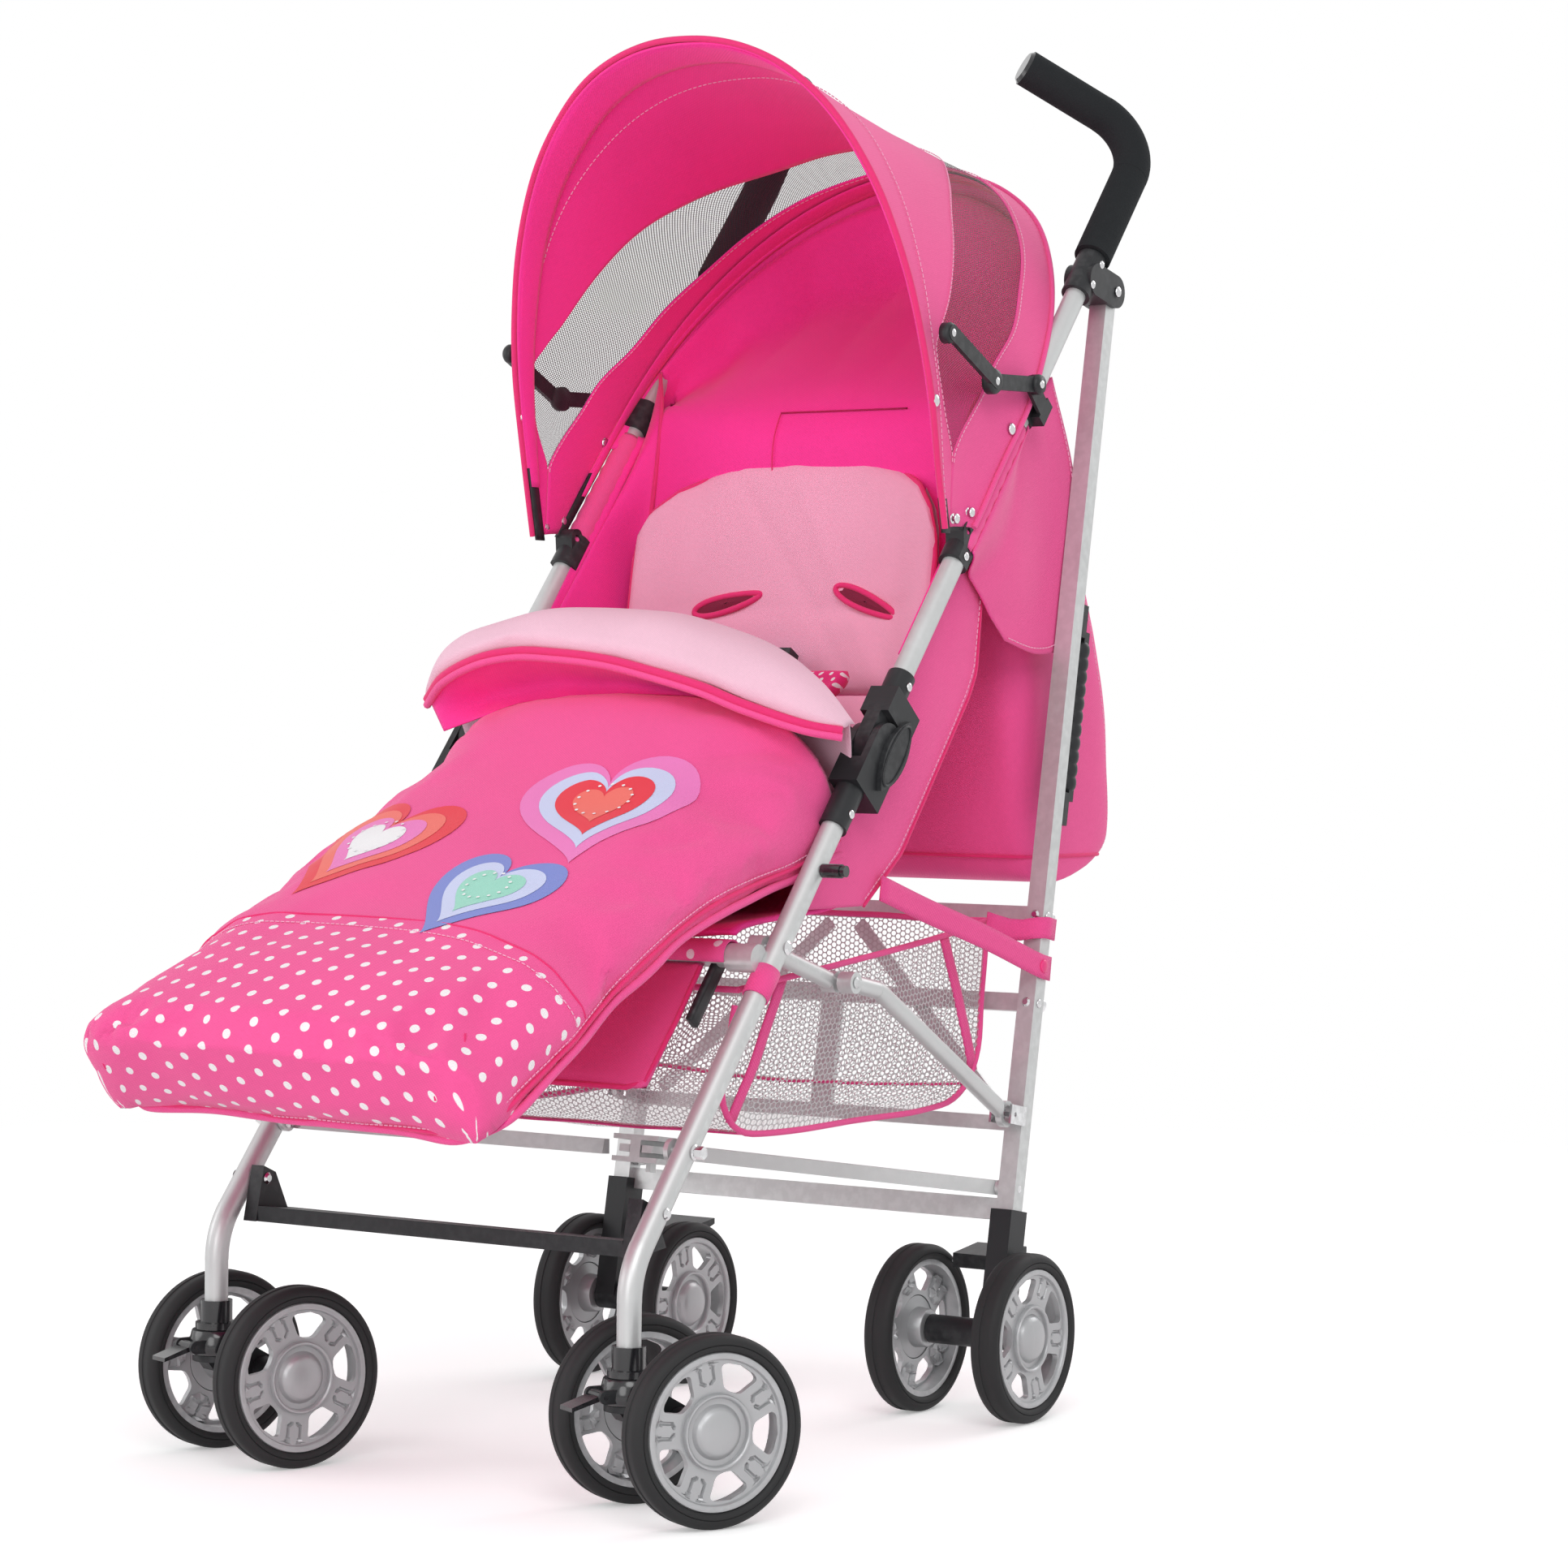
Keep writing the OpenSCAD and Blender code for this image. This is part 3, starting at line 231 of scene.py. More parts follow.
# %% Cloth finishes
def blank(name):
    """A new finish: its material, its tree, its shader and the place on the piece."""
    made = bpy.data.materials.new(name)
    made.use_nodes = True
    tree = made.node_tree
    return made, tree, tree.nodes["Principled BSDF"], node(tree, "TexCoord").outputs["Object"]

def use_group(tree, name, vector, **values):
    return node(tree, "Group", {"Vector": vector, **values}, node_tree=bpy.data.node_groups[name])

def blended(tree, mask, a, b, how="MIX"):
    return node(tree, "Mix", {0: mask, 6: a, 7: b}, data_type="RGBA", blend_type=how).outputs[2]

def tinted(tree, colour, shade):
    return blended(tree, 1.0, colour, shade, "MULTIPLY")

def bumped(tree, height, strength, distance):
    return node(tree, "Bump", {"Height": height, "Strength": strength, "Distance": distance}).outputs[0]

def spots(tree, pitch, radius):
    """Round dots in staggered rows on the piece's own map, as a mask."""
    place = node(tree, "UVMap", uv_map="map")
    parts = node(tree, "SeparateXYZ", {"Vector": place.outputs[0]})
    masks = []
    for shift in (0.0, 0.5):
        squares = []
        for way in (0, 1):
            cell = sums(tree, "FRACT", sums(tree, "MULTIPLY_ADD", parts.outputs[way], 1 / pitch[way], shift))
            off = sums(tree, "MULTIPLY", sums(tree, "SUBTRACT", cell, 0.5), pitch[way])
            squares.append(sums(tree, "MULTIPLY", off, off))
        far = sums(tree, "SQRT", sums(tree, "ADD", *squares))
        masks.append(ranged(tree, far, radius * 1.06, radius * 0.94))
    return sums(tree, "MAXIMUM", *masks)

DOT_COLOUR = (0.88, 0.82, 0.85)

def cloth(name, colour, threads=240.0, mottle=0.12, rough=0.78, dots=None, bump=0.35):
    made, tree, shader, place = blank(name)
    grain = use_group(tree, "cloth_grain", place, Threads=threads, Mottle=mottle).outputs
    tint = blended(tree, spots(tree, *dots), colour, DOT_COLOUR) if dots else colour
    feed(tree, shader, {"Base Color": tinted(tree, tint, grain["Shade"]),
                        "Normal": bumped(tree, grain["Height"], bump, 0.0004), "Roughness": rough,
                        "Sheen Weight": 0.15, "Sheen Roughness": 0.5, "Specular IOR Level": 0.25})
    return made

HOT, DEEP = (0.86, 0.089, 0.31), (0.79, 0.03, 0.2)
outer_cloth = cloth("outer_cloth", HOT)
inner_cloth = cloth("inner_cloth", (0.96, 0.036, 0.32), mottle=0.14, rough=0.7)
blush_cloth = cloth("blush_cloth", (0.86, 0.39, 0.55), threads=300.0, mottle=0.1, rough=0.85)
pale_cloth = cloth("pale_cloth", (0.84, 0.52, 0.64), threads=300.0, rough=0.85)
dotted_cloth = cloth("dotted_cloth", HOT, dots=((0.0440, 0.0200), 0.0036))
dotted_pad = cloth("dotted_pad", DEEP, dots=((0.014, 0.014), 0.0022))
piping_cloth = cloth("piping_cloth", (0.8, 0.03, 0.18), threads=500.0, mottle=0.05)
# A very dark pink: painted shade for the inside of the harness slots.
slit_painted_shade = cloth("slit_painted_shade", (0.2, 0.008, 0.04), threads=300.0)
webbing = cloth("webbing", (0.86, 0.08, 0.3), threads=190.0, mottle=0.05, bump=0.7)
thread_cloth = cloth("thread_cloth", (0.93, 0.42, 0.62), threads=700.0, mottle=0.02)
print("cloth finishes:", len(bpy.data.materials))

# %% Open mesh
def open_mesh(name, colour, pitch, hole):
    """Cloth with staggered round holes, cut by alpha on the piece's own map."""
    made, tree, shader, place = blank(name)
    grain = use_group(tree, "cloth_grain", place, Threads=500.0, Mottle=0.08).outputs
    holes = spots(tree, (pitch * 1.732, pitch), hole / 2)
    feed(tree, shader, {"Base Color": tinted(tree, colour, grain["Shade"]), "Roughness": 0.6,
                        "Alpha": sums(tree, "SUBTRACT", 1.0, holes)})
    made.surface_render_method = "DITHERED"
    return made

hood_mesh = open_mesh("hood_mesh", (0.02, 0.012, 0.015), 0.0026, 0.0019)
net = open_mesh("net", (0.5, 0.48, 0.49), 0.0052, 0.0044)

# %% [markdown]
# The hard finishes: drawn aluminium with a satin clear coat, moulded black plastic in a
# dull and a glossy grade, foam with open pores, steel for rivets, the silver-grey plastic
# of the rims, and black rubber.

# %% Hard finishes
def hard(name, colour, metal=0.0, rough=0.5, grain=900.0, bump=0.15, scuffs=0.3, wear=0.4, coat=0.0, depth=0.0002,
         shine=0.5):
    made, tree, shader, place = blank(name)
    marks = use_group(tree, "handled", place, Grain=grain, Scuffs=scuffs).outputs
    edge = use_group(tree, "edge_wear", place, Amount=wear).outputs["Worn"]
    worn = tuple(min(1, c * 1.5 + 0.04) for c in colour)
    feed(tree, shader, {"Base Color": blended(tree, edge, tinted(tree, colour, marks["Shade"]), worn),
                        "Roughness": sums(tree, "MULTIPLY_ADD", marks["Dull"], 0.5, rough - 0.03, clamp=True),
                        "Normal": bumped(tree, marks["Height"], bump, depth), "Metallic": metal,
                        "Coat Weight": coat, "Coat Roughness": 0.2, "Specular IOR Level": shine})
    return made

drawn_tube = hard("drawn_tube", (0.55, 0.56, 0.56), metal=0.5, rough=0.4, grain=300.0, bump=0.04, scuffs=0.2,
                  wear=0.2)
dull_black = hard("dull_black", (0.018, 0.019, 0.021), rough=0.42, grain=1600.0, bump=0.3, shine=0.3)
gloss_black = hard("gloss_black", (0.012, 0.012, 0.014), rough=0.16, grain=500.0, bump=0.03, coat=0.5, scuffs=0.15,
                   shine=0.4)
foam = hard("foam", (0.022, 0.024, 0.026), rough=0.9, grain=700.0, bump=1.0, scuffs=0.0, wear=0.1, depth=0.0006,
            shine=0.1)
bright_steel = hard("bright_steel", (0.62, 0.62, 0.63), metal=1.0, rough=0.2, grain=500.0, bump=0.03)
rim_plastic = hard("rim_plastic", (0.42, 0.425, 0.435), metal=0.35, rough=0.36, grain=1500.0, bump=0.1, coat=0.1)
rubber = hard("rubber", (0.026, 0.026, 0.027), rough=0.62, grain=800.0, bump=0.25, wear=0.15, shine=0.22)
pink_plastic = hard("pink_plastic", (0.78, 0.03, 0.2), rough=0.35, bump=0.05)
print("finishes in all:", len(bpy.data.materials))

# %% [markdown]
# ## Shaping helpers
# Sewn pieces are laid out as a flat grid and then carried into place point by point, just
# as a cut panel is pulled over a frame. Straps and piping follow a line. Each finished
# piece has its place in its mesh, stands at the zero of the frame, and rides on the body
# that carries the real one.

# %% Piece helpers
def dressed(name, mesh, material, body=None, slot=None, smooth_faces=True):
    """Makes a piece of a mesh: it gets its finish and rides on its body."""
    made = bpy.data.objects.new(name, mesh)
    bpy.context.collection.objects.link(made)
    for one in (material if isinstance(material, (list, tuple)) else [material]):
        mesh.materials.append(one)
    if smooth_faces:
        mesh.shade_smooth()
    if body:
        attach(made, body)
    return made

def piece(name, bm, *finish, **more):
    """The same, of a mesh under construction."""
    mesh = bpy.data.meshes.new(name)
    bm.to_mesh(mesh)
    bm.free()
    return dressed(name, mesh, *finish, **more)

def join(whole, part):
    """Moves one mesh under construction into another."""
    mesh = bpy.data.meshes.new("part")
    part.to_mesh(mesh)
    part.free()
    whole.from_mesh(mesh)
    bpy.data.meshes.remove(mesh)

def stand(bm, place, axis):
    """Sets a turned shape at a place, with its height along axis."""
    turn_to = Vector(axis).to_track_quat("Z", "Y").to_matrix().to_4x4()
    bmesh.ops.transform(bm, matrix=Matrix.Translation(place) @ turn_to, verts=bm.verts[:])

def tree_of(made):
    """A search tree over a finished piece, to lay other cloth on it."""
    return BVHTree.FromPolygons([v.co.copy() for v in made.data.vertices],
                                [tuple(p.vertices) for p in made.data.polygons])

def grid(f, nu, nv, size=(1, 1)):
    """A grid carried into place by f(u, v); its map is in metres of the flat cut."""
    bm = bmesh.new()
    bmesh.ops.create_grid(bm, x_segments=nu, y_segments=nv, size=0.5)
    layer = bm.loops.layers.uv.new("map")
    for face in bm.faces:
        for loop in face.loops:
            loop[layer].uv = ((loop.vert.co.x + 0.5) * size[0], (loop.vert.co.y + 0.5) * size[1])
    for vert in bm.verts:
        vert.co = f(vert.co.x + 0.5, vert.co.y + 0.5)
    bm.normal_update()
    return bm

CLOTH_THICK = 0.0012

def sewn(name, f, nu, nv, size, material, body, slot, thick=CLOTH_THICK, replaces=(),
         turn=False):
    """A sheet of cloth: made, given its thickness and put on its body."""
    bm = grid(f, nu, nv, size)
    cut = sum(face.calc_area() for face in bm.faces)
    if turn:
        bmesh.ops.reverse_faces(bm, faces=bm.faces[:])
    if thick:
        bmesh.ops.solidify(bm, geom=bm.faces[:], thickness=thick)
        bmesh.ops.recalc_face_normals(bm, faces=bm.faces[:])
    made = piece(name, bm, material, body, slot)
    if replaces:
        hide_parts(*replaces)
    return made

def line(name, points, radius, material, body, slot, closed=False, sides=2):
    """A round line, such as piping or a wire, made from a curve and turned into a mesh."""
    curve = bpy.data.curves.new(name, "CURVE")
    curve.dimensions, curve.bevel_depth, curve.bevel_resolution, curve.use_fill_caps = "3D", radius, sides, True
    for run in points if isinstance(points[0], (list, tuple)) else [points]:
        spline = curve.splines.new("POLY")
        spline.points.add(len(run) - 1)
        for place, target in zip(run, spline.points):
            target.co = (*place, 1)
        spline.use_cyclic_u = closed
    holder = bpy.data.objects.new(name, curve)
    bpy.context.collection.objects.link(holder)
    mesh = bpy.data.meshes.new_from_object(holder.evaluated_get(bpy.context.evaluated_depsgraph_get()))
    bpy.data.objects.remove(holder)
    return dressed(name, mesh, material, body, slot)

DASH, GAP = 0.0032, 0.0016

def dashes(path):
    """Cuts a line into the short runs of a row of stitches."""
    rows = spaced([tuple(p) for p in path])
    total = sum((b - a).length for a, b in zip(path, path[1:]))
    count = max(1, int(total / (DASH + GAP)))
    return [[Vector(table(rows, i / count)), Vector(table(rows, (i + DASH / (DASH + GAP)) / count))]
            for i in range(count)]

def stitches(name, path, body, slot="pink_cloth", radius=0.0005, material=thread_cloth):
    return line(name, dashes(path), radius, material, body, slot, sides=0)

def strap(name, points, width, side, body, material, slot="deep_pink_cloth", thick=0.0016):
    """Flat webbing along a line of points, with its width along side."""
    rows = spaced([tuple(p) for p in points])
    side = Vector(side).normalized()
    length = sum((Vector(b) - Vector(a)).length for a, b in zip(points, points[1:]))
    steps = max(6, int(length / 0.012))
    def f(u, v):
        return Vector(eased(rows, v)) + side * width * (u - 0.5)
    bm = grid(f, 4, steps, (width, length))
    bmesh.ops.solidify(bm, geom=bm.faces[:], thickness=thick)
    return piece(name, bm, material, body, slot)

def crumple(place, amount, scale, seed=0.0):
    """A soft, repeatable push for cloth that is not quite smooth."""
    p = place * scale + Vector((seed, seed * 0.7, -seed))
    return amount * (noise.noise(p) + 0.45 * noise.noise(p * 2.3))

def rumple(made, amount, scale):
    """Works small soft dents and swells into a finished padded piece."""
    pushes = [vert.normal * crumple(vert.co, amount, scale) for vert in made.data.vertices]
    for vert, push in zip(made.data.vertices, pushes):
        vert.co += push

def spun(profile, steps):
    """A turned shape: a profile of (radius, height) spun about its height."""
    bm = bmesh.new()
    verts = [bm.verts.new((r, 0, z)) for r, z in profile]
    edges = [bm.edges.new(pair) for pair in zip(verts, verts[1:])]
    bmesh.ops.spin(bm, geom=verts + edges, cent=(0, 0, 0), axis=(0, 0, 1), dvec=(0, 0, 0),
                   angle=math.tau, steps=steps, use_merge=True, use_duplicate=False)
    bmesh.ops.remove_doubles(bm, verts=bm.verts[:], dist=1e-6)
    bmesh.ops.recalc_face_normals(bm, faces=bm.faces[:])
    return bm

print("shaping helpers ready")

# %% [markdown]
# ## Camera, light and floor
# The stroller is seen from its front left, a little above half its height, through a
# long lens. The light is broad and plain, so colours come out about as they are mixed.
# The floor and the world show white to the camera only.

# %% Camera
view = bpy.data.cameras.new("view")
view.lens, view.sensor_width, view.sensor_fit = 94.34, 36.0, "HORIZONTAL"
turn, tip, roll = math.radians(33.01), math.radians(0.93), math.radians(0.61)
back = Vector((math.sin(turn) * math.cos(tip), -math.cos(turn) * math.cos(tip), math.sin(tip)))
right = Vector((math.cos(turn), math.sin(turn), 0))
up = back.cross(right)
right, up = (math.cos(roll) * right + math.sin(roll) * up), (math.cos(roll) * up - math.sin(roll) * right)
camera = bpy.data.objects.new("camera", view)
spin_frame = Matrix((right, up, back)).transposed().to_4x4()
camera.matrix_world = Matrix.Translation(at(1896.2, -2421.2, 580.5)) @ spin_frame
view.clip_end = 50
bpy.context.collection.objects.link(camera)
bpy.context.scene.camera = camera
print("camera at", tuple(round(v, 3) for v in camera.location))

# %% Light, world and floor
def lamp(name, place, aim, size, watts):
    light = bpy.data.lights.new(name, "AREA")
    light.energy, light.shape, light.size = watts, "DISK", size
    made = bpy.data.objects.new(name, light)
    made.location = place
    made.rotation_euler = (Vector(aim) - Vector(place)).to_track_quat("-Z", "Y").to_euler()
    bpy.context.collection.objects.link(made)

lamp("key", (2.2, -2.6, 3.0), (0, 0, 0.6), 2.2, 52)
lamp("low front", (0.7, -2.9, 1.0), (-0.02, 0.15, 0.85), 1.3, 14)
lamp("fill", (-3.0, -2.2, 1.9), (0, 0, 0.6), 2.6, 34)
lamp("behind", (0.8, 3.2, 2.6), (0, 0, 0.7), 2.4, 38)

world = bpy.data.worlds.new("world")
bpy.context.scene.world = world
world.use_nodes = True
tree = world.node_tree
rays = node(tree, "LightPath").outputs
seen = sums(tree, "MAXIMUM", rays["Is Camera Ray"], rays["Is Glossy Ray"])
seen = sums(tree, "MAXIMUM", seen, rays["Is Transmission Ray"])
shine = sums(tree, "MULTIPLY_ADD", seen, 0.42, 0.58)
feed(tree, tree.nodes["Background"], {"Color": (1, 1, 1, 1), "Strength": shine})

floor_bm = bmesh.new()
bmesh.ops.create_circle(floor_bm, cap_ends=True, segments=96, radius=7.0)
floor_paint, tree, shader, place = blank("floor_paint")
shade = sums(tree, "MULTIPLY_ADD", noisy(tree, place, 3.0, 2.0), 0.01, 0.9)
rays = node(tree, "LightPath").outputs
seen = sums(tree, "MAXIMUM", rays["Is Camera Ray"], rays["Is Glossy Ray"])
feed(tree, shader, {"Base Color": tinted(tree, (1.0, 1.0, 1.0), shade), "Roughness": 0.9, "Specular IOR Level": 0.1,
                    "Emission Color": tinted(tree, (1.0, 1.0, 1.0), seen), "Emission Strength": 0.32})
reach = node(tree, "VectorMath", {0: place}, operation="LENGTH").outputs["Value"]
far = sums(tree, "MULTIPLY_ADD", reach, 0.9, -1.35, clamp=True)
glow = node(tree, "Emission", {"Color": (1, 1, 1, 1), "Strength": 1.0})
both = node(tree, "MixShader", {0: far, 1: shader.outputs[0], 2: glow.outputs[0]})
feed(tree, tree.nodes["Material Output"], {"Surface": both.outputs[0]})
floor = piece("floor", floor_bm, floor_paint, smooth_faces=False)
bpy.context.scene.view_settings.view_transform = "Standard"
print("stage set")

# %% [markdown]
# ## Finishes for the parts of the frame
# The tubes, joints, clamps and brackets keep their shapes. Each gets its finish here.

# %% Paint the frame
def paint(material, *names):
    for name in names:
        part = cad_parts[name]
        for spot in part.material_slots:
            spot.material = material
        if not part.material_slots:
            part.data.materials.append(material)
    print(material.name, "on", len(names), "parts")

paint(drawn_tube, "front_tubes", "push_tubes", "rear_legs", "rear_bars", "rear_braces", "seat_rails",
      "seat_struts", "front_arms", "rear_arms", "hub", "seat_bar")
paint(bright_steel, "frame_rivets", "rear_axles", "rear_rivets", "left_caster_axle", "right_caster_axle")
paint(dull_black, "lower_joints", "upper_joints", "joint_pads", "handle_brackets", "footrest", "canopy_clamps",
      "stay_clamps", "rear_housings", "brake_pedals", "carry_handle", "left_caster_fork", "right_caster_fork",
      "front_bow", "rear_bow", "front_stays", "rear_stays", "buckle")
paint(gloss_black, "caster_collars", "left_swivel_lock", "right_swivel_lock", "grip_plugs", "fold_stud")
paint(foam, "grips")
paint(pink_plastic, "buckle_button")

# %% [markdown]
# ## Wheels
# A stroller wheel is two mouldings: a soft black tread on a silver-grey rim. The tread is
# a turned ring with a groove on each shoulder. The rim has five broad spokes, each with a
# U-shaped groove, rounded windows between them, a raised ring round the hub and a domed
# cap. The spokes are laid out as a polar grid whose edge draws the windows.

# %% Tread and rim
RIM, TREAD, HUB, CAP = 0.058, 0.070, 0.0276, 0.018
SPOKES = 5

def tread():
    half, soft = 0.0125, 0.007
    side = [(RIM - 0.0006, half - 0.0035), (RIM + 0.001, half - 0.0012), (RIM + 0.0032, half - 0.0002),
            (RIM + 0.0042, half - 0.0002), (RIM + 0.0046, half - 0.0009), (RIM + 0.0052, half - 0.0002)]
    bend = [(TREAD - soft + soft * math.sin(a), half - soft + soft * math.cos(a))
            for a in [i * math.pi / 16 for i in range(1, 9)]]
    outer = side + bend
    profile = outer + [(TREAD, 0.0022), (TREAD - 0.0007, 0.0018), (TREAD - 0.0007, -0.0018), (TREAD, -0.0022)]
    profile += [(r, -z) for r, z in reversed(outer)] + [outer[0]]
    return spun(profile, 96)

def window_angle(r):
    """Half the angle of a window at radius r, which closes with rounded corners."""
    mid, reach = 0.0402, 0.0098
    k = abs(r - mid) / reach
    if k >= 1:
        return 0.0
    return math.radians(mix(13.9, 21.4, (r - 0.031) / 0.019)) * (1 - k ** 5) ** 0.3

def spokes():
    bm = bmesh.new()
    for i in range(SPOKES):
        def f(u, v):
            r = mix(HUB - 0.001, RIM - 0.0025, u)
            half = math.pi / SPOKES - window_angle(r)
            t = v * 2 - 1
            dip = 0.0
            if 0.0335 < r < 0.0505:
                inner, outer = 0.0042, 0.0068
                d = abs(t * half * r) + max(0.0, 0.0385 - r) * 0.9
                if inner < d < outer and r > 0.0345:
                    dip = 0.0022
                elif d <= inner:
                    dip = -0.0002
            h = 0.0064 + 0.0022 * (r - HUB) / (RIM - HUB) - dip
            angle = i * math.tau / SPOKES + t * half
            return Vector((r * math.cos(angle), r * math.sin(angle), h))
        join(bm, grid(f, 34, 26))
    bmesh.ops.remove_doubles(bm, verts=bm.verts[:], dist=2e-5)
    bmesh.ops.recalc_face_normals(bm, faces=bm.faces[:])
    if sum(face.normal.z for face in bm.faces) < 0:
        bmesh.ops.reverse_faces(bm, faces=bm.faces[:])
    bmesh.ops.solidify(bm, geom=bm.faces[:], thickness=0.005)
    return bm

def rim_body():
    barrel = spun([(RIM - 0.005, -0.009), (RIM - 0.0002, -0.009), (RIM - 0.0002, 0.0085), (RIM - 0.0012, 0.0105),
                   (RIM - 0.0032, 0.0112), (RIM - 0.0052, 0.0104), (RIM - 0.0062, 0.0082), (RIM - 0.006, 0.003),
                   (RIM - 0.005, -0.009)], 96)
    barb = [(0.0045, -0.0115), (CAP - 0.003, -0.0115), (CAP - 0.002, -0.0105), (CAP - 0.001, 0.0)]
    ring = [(HUB - 0.0015, 0.002), (HUB, 0.0055), (HUB, 0.0092), (HUB - 0.0006, 0.0102), (HUB - 0.0016, 0.0104),
            (HUB - 0.0026, 0.0098), (HUB - 0.003, 0.0088), (HUB - 0.0034, 0.0066)]
    cap = [(CAP + 0.0022, 0.0066), (CAP + 0.0004, 0.0088), (CAP, 0.0096), (CAP - 0.001, 0.0104)]
    dome = [(CAP * math.cos(a) - 0.0012 * math.cos(a), 0.0102 + 0.0042 * math.sin(a))
            for a in [k * math.pi / 16 for k in range(1, 8)]]
    hub = spun(barb + ring + cap + dome + [(0.0, 0.0145)], 64)
    whole = bmesh.new()
    for part in (barrel, hub, spokes()):
        join(whole, part)
    return whole

def wheel(name, place, swivel, outward, phase):
    """Makes one wheel; outward is 1 when its face looks to +X before the swivel."""
    put = (Matrix.Translation(place) @ Matrix.Rotation(swivel, 4, "Z")
           @ Matrix.Rotation(outward * math.pi / 2, 4, "Y") @ Matrix.Rotation(phase, 4, "Z"))
    for part, shape, finish in (("tread", tread(), rubber), ("rim", rim_body(), rim_plastic)):
        bmesh.ops.transform(shape, matrix=put, verts=shape.verts[:])
        made = piece(f"{name}_{part}", shape, finish, f"{name}_body", "wheel")
        made.data.set_sharp_from_angle(angle=math.radians(42))
        if part == "rim":
            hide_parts(name)

HALF_TRACK, TRAIL = 55, 38    # of a pair of front wheels, from the swivel
rear_y, rear_z = down_leg(AXLE_DOWN)
for side, label in SIDES:
    swivel = math.radians(-25.75 if side > 0 else -17.6)
    for where, way in (("outer", side), ("inner", -side)):
        local = Matrix.Rotation(swivel, 3, "Z") @ Vector((way * HALF_TRACK, TRAIL, 0))
        wheel(f"{label}_front_{where}_wheel", at(side * SIDE + local.x, local.y, 70), swivel, way,
              0.35 + 0.5 * side)
    wheel(f"{label}_rear_outer_wheel", at(side * 221, rear_y, rear_z), 0, side, 0.2)
    wheel(f"{label}_rear_inner_wheel", at(side * 119, rear_y, rear_z), 0, -side, 0.9)
print("eight wheels")

# %% [markdown]
# ## The canopy
# The canopy is cloth pulled tight between a front hoop and a rear hoop that share one
# pivot on each side. Cloth under tension lies on straight lines from hoop to hoop, so the
# panels are ruled between two curves. A mesh window runs across it, wide at the top and
# narrowing to a V above each pivot. Its two edges are given as shares of the way from
# front to rear, and each panel is a grid between two such edges.

# %% Hoops and the window's edges
def hoop(origin, tilt, half, straight, top, power):
    """Points of one hoop from the child's left pivot over the top to the right pivot."""
    places = [(half, 0.0), (half, straight)]
    for i in range(1, 160):
        a = math.pi * i / 160
        places.append((half * math.copysign(abs(math.cos(a)) ** (2 / power), math.cos(a)),
                       straight + (top - straight) * math.sin(a) ** (2 / power)))
    places += [(-half, straight), (-half, 0.0)]
    lean = math.radians(tilt)
    return spaced([tuple(at(x, origin[0] + r * math.sin(lean), origin[1] + r * math.cos(lean))) for x, r in places])

front_hoop = hoop((415.5, 729), -12, 206, 78, 409, 2.3)
rear_hoop = hoop((454, 733), 40.4, 206, 107, 436, 2.0)
WINDOW_FRONT = [(0.066, 0.29), (0.10, 0.16), (0.15, 0.13), (0.17, 0.2), (0.20, 0.3), (0.25, 0.40), (0.30, 0.48),
                (0.35, 0.58), (0.41, 0.70), (0.46, 0.74), (0.5, 0.755)]
WINDOW_REAR = [(0.066, 0.30), (0.12, 0.55), (0.16, 0.65), (0.20, 0.76), (0.25, 0.81), (0.30, 0.85), (0.35, 0.865),
               (0.40, 0.88), (0.45, 0.90), (0.5, 0.905)]

def fold_t(t):
    return min(t, 1 - t)

def canopy_point(u, t, lift=0.0):
    """A point of the tensioned cloth; it dips a little between the hoops and the ribs."""
    a, b = Vector(table(front_hoop, t)), Vector(table(rear_hoop, t))
    place = mix(a, b, u)
    out = (place - HOOD_MIDDLE).normalized()
    slack = -0.004 * math.sin(math.pi * u) + crumple(place, 0.0022, 7.0)
    return place + out * (lift + slack)

def front_edge(t):
    return eased(WINDOW_FRONT, max(fold_t(t), 0.066))[0]

def rear_edge(t):
    return eased(WINDOW_REAR, max(fold_t(t), 0.066))[0]

arch = sum((Vector(b[1:]) - Vector(a[1:])).length for a, b in zip(front_hoop, front_hoop[1:]))
print("front hoop", round(arch, 3), "m")

# %% Front panel, mesh window and rear band
T0 = 0.004    # how far the cloth stops short of the pivots


def hood_sheet(name, lower, upper, nu, nv, width, material, lift=0.0, t_from=0.0, thick=CLOTH_THICK, replaces=()):
    def f(u, v):
        t = mix(T0 + t_from, 1 - T0 - t_from, v)
        return canopy_point(mix(lower(t), upper(t), u), t, lift)
    return sewn(name, f, nu, nv, (width, arch * (1 - 2 * t_from)), material, None, "pink_cloth", thick=thick,
                replaces=replaces)

def to_pivots(made):
    """Bakes the piece's transform into its mesh. On the real canopy this cloth turns with the front hoop, less and
    less towards the rear; here it does not.
    """
    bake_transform(made)

front_panel = hood_sheet("front_panel", lambda t: 0.0, front_edge, 30, 150, 0.16, [outer_cloth, inner_cloth],
                         replaces=("canopy",))
rear_band = hood_sheet("rear_band", rear_edge, lambda t: 1.0, 14, 150, 0.06, [outer_cloth, inner_cloth])
window = hood_sheet("window_mesh", lambda t: front_edge(t) - 0.004, lambda t: rear_edge(t) + 0.004, 24, 130, 0.12,
                    hood_mesh, lift=-0.0006, t_from=0.062, thick=0)

def two_sided(made):
    """Outer faces take the first finish and inner faces the second."""
    for face in made.data.polygons:
        face.material_index = 0 if face.normal.dot(face.center - HOOD_MIDDLE) > 0 else 1

for made in (front_panel, rear_band):
    two_sided(made)
for made in (front_panel, rear_band, window):
    to_pivots(made)

# %% Bindings, stitches and the support strip
def canopy_line(u_of, lift, t0=T0, t1=1 - T0):
    """A line on the canopy, with its share from front to rear given by u_of(t)."""
    return [canopy_point(u_of(t), t, lift) for t in (mix(t0, t1, k) for k in shares(170))]

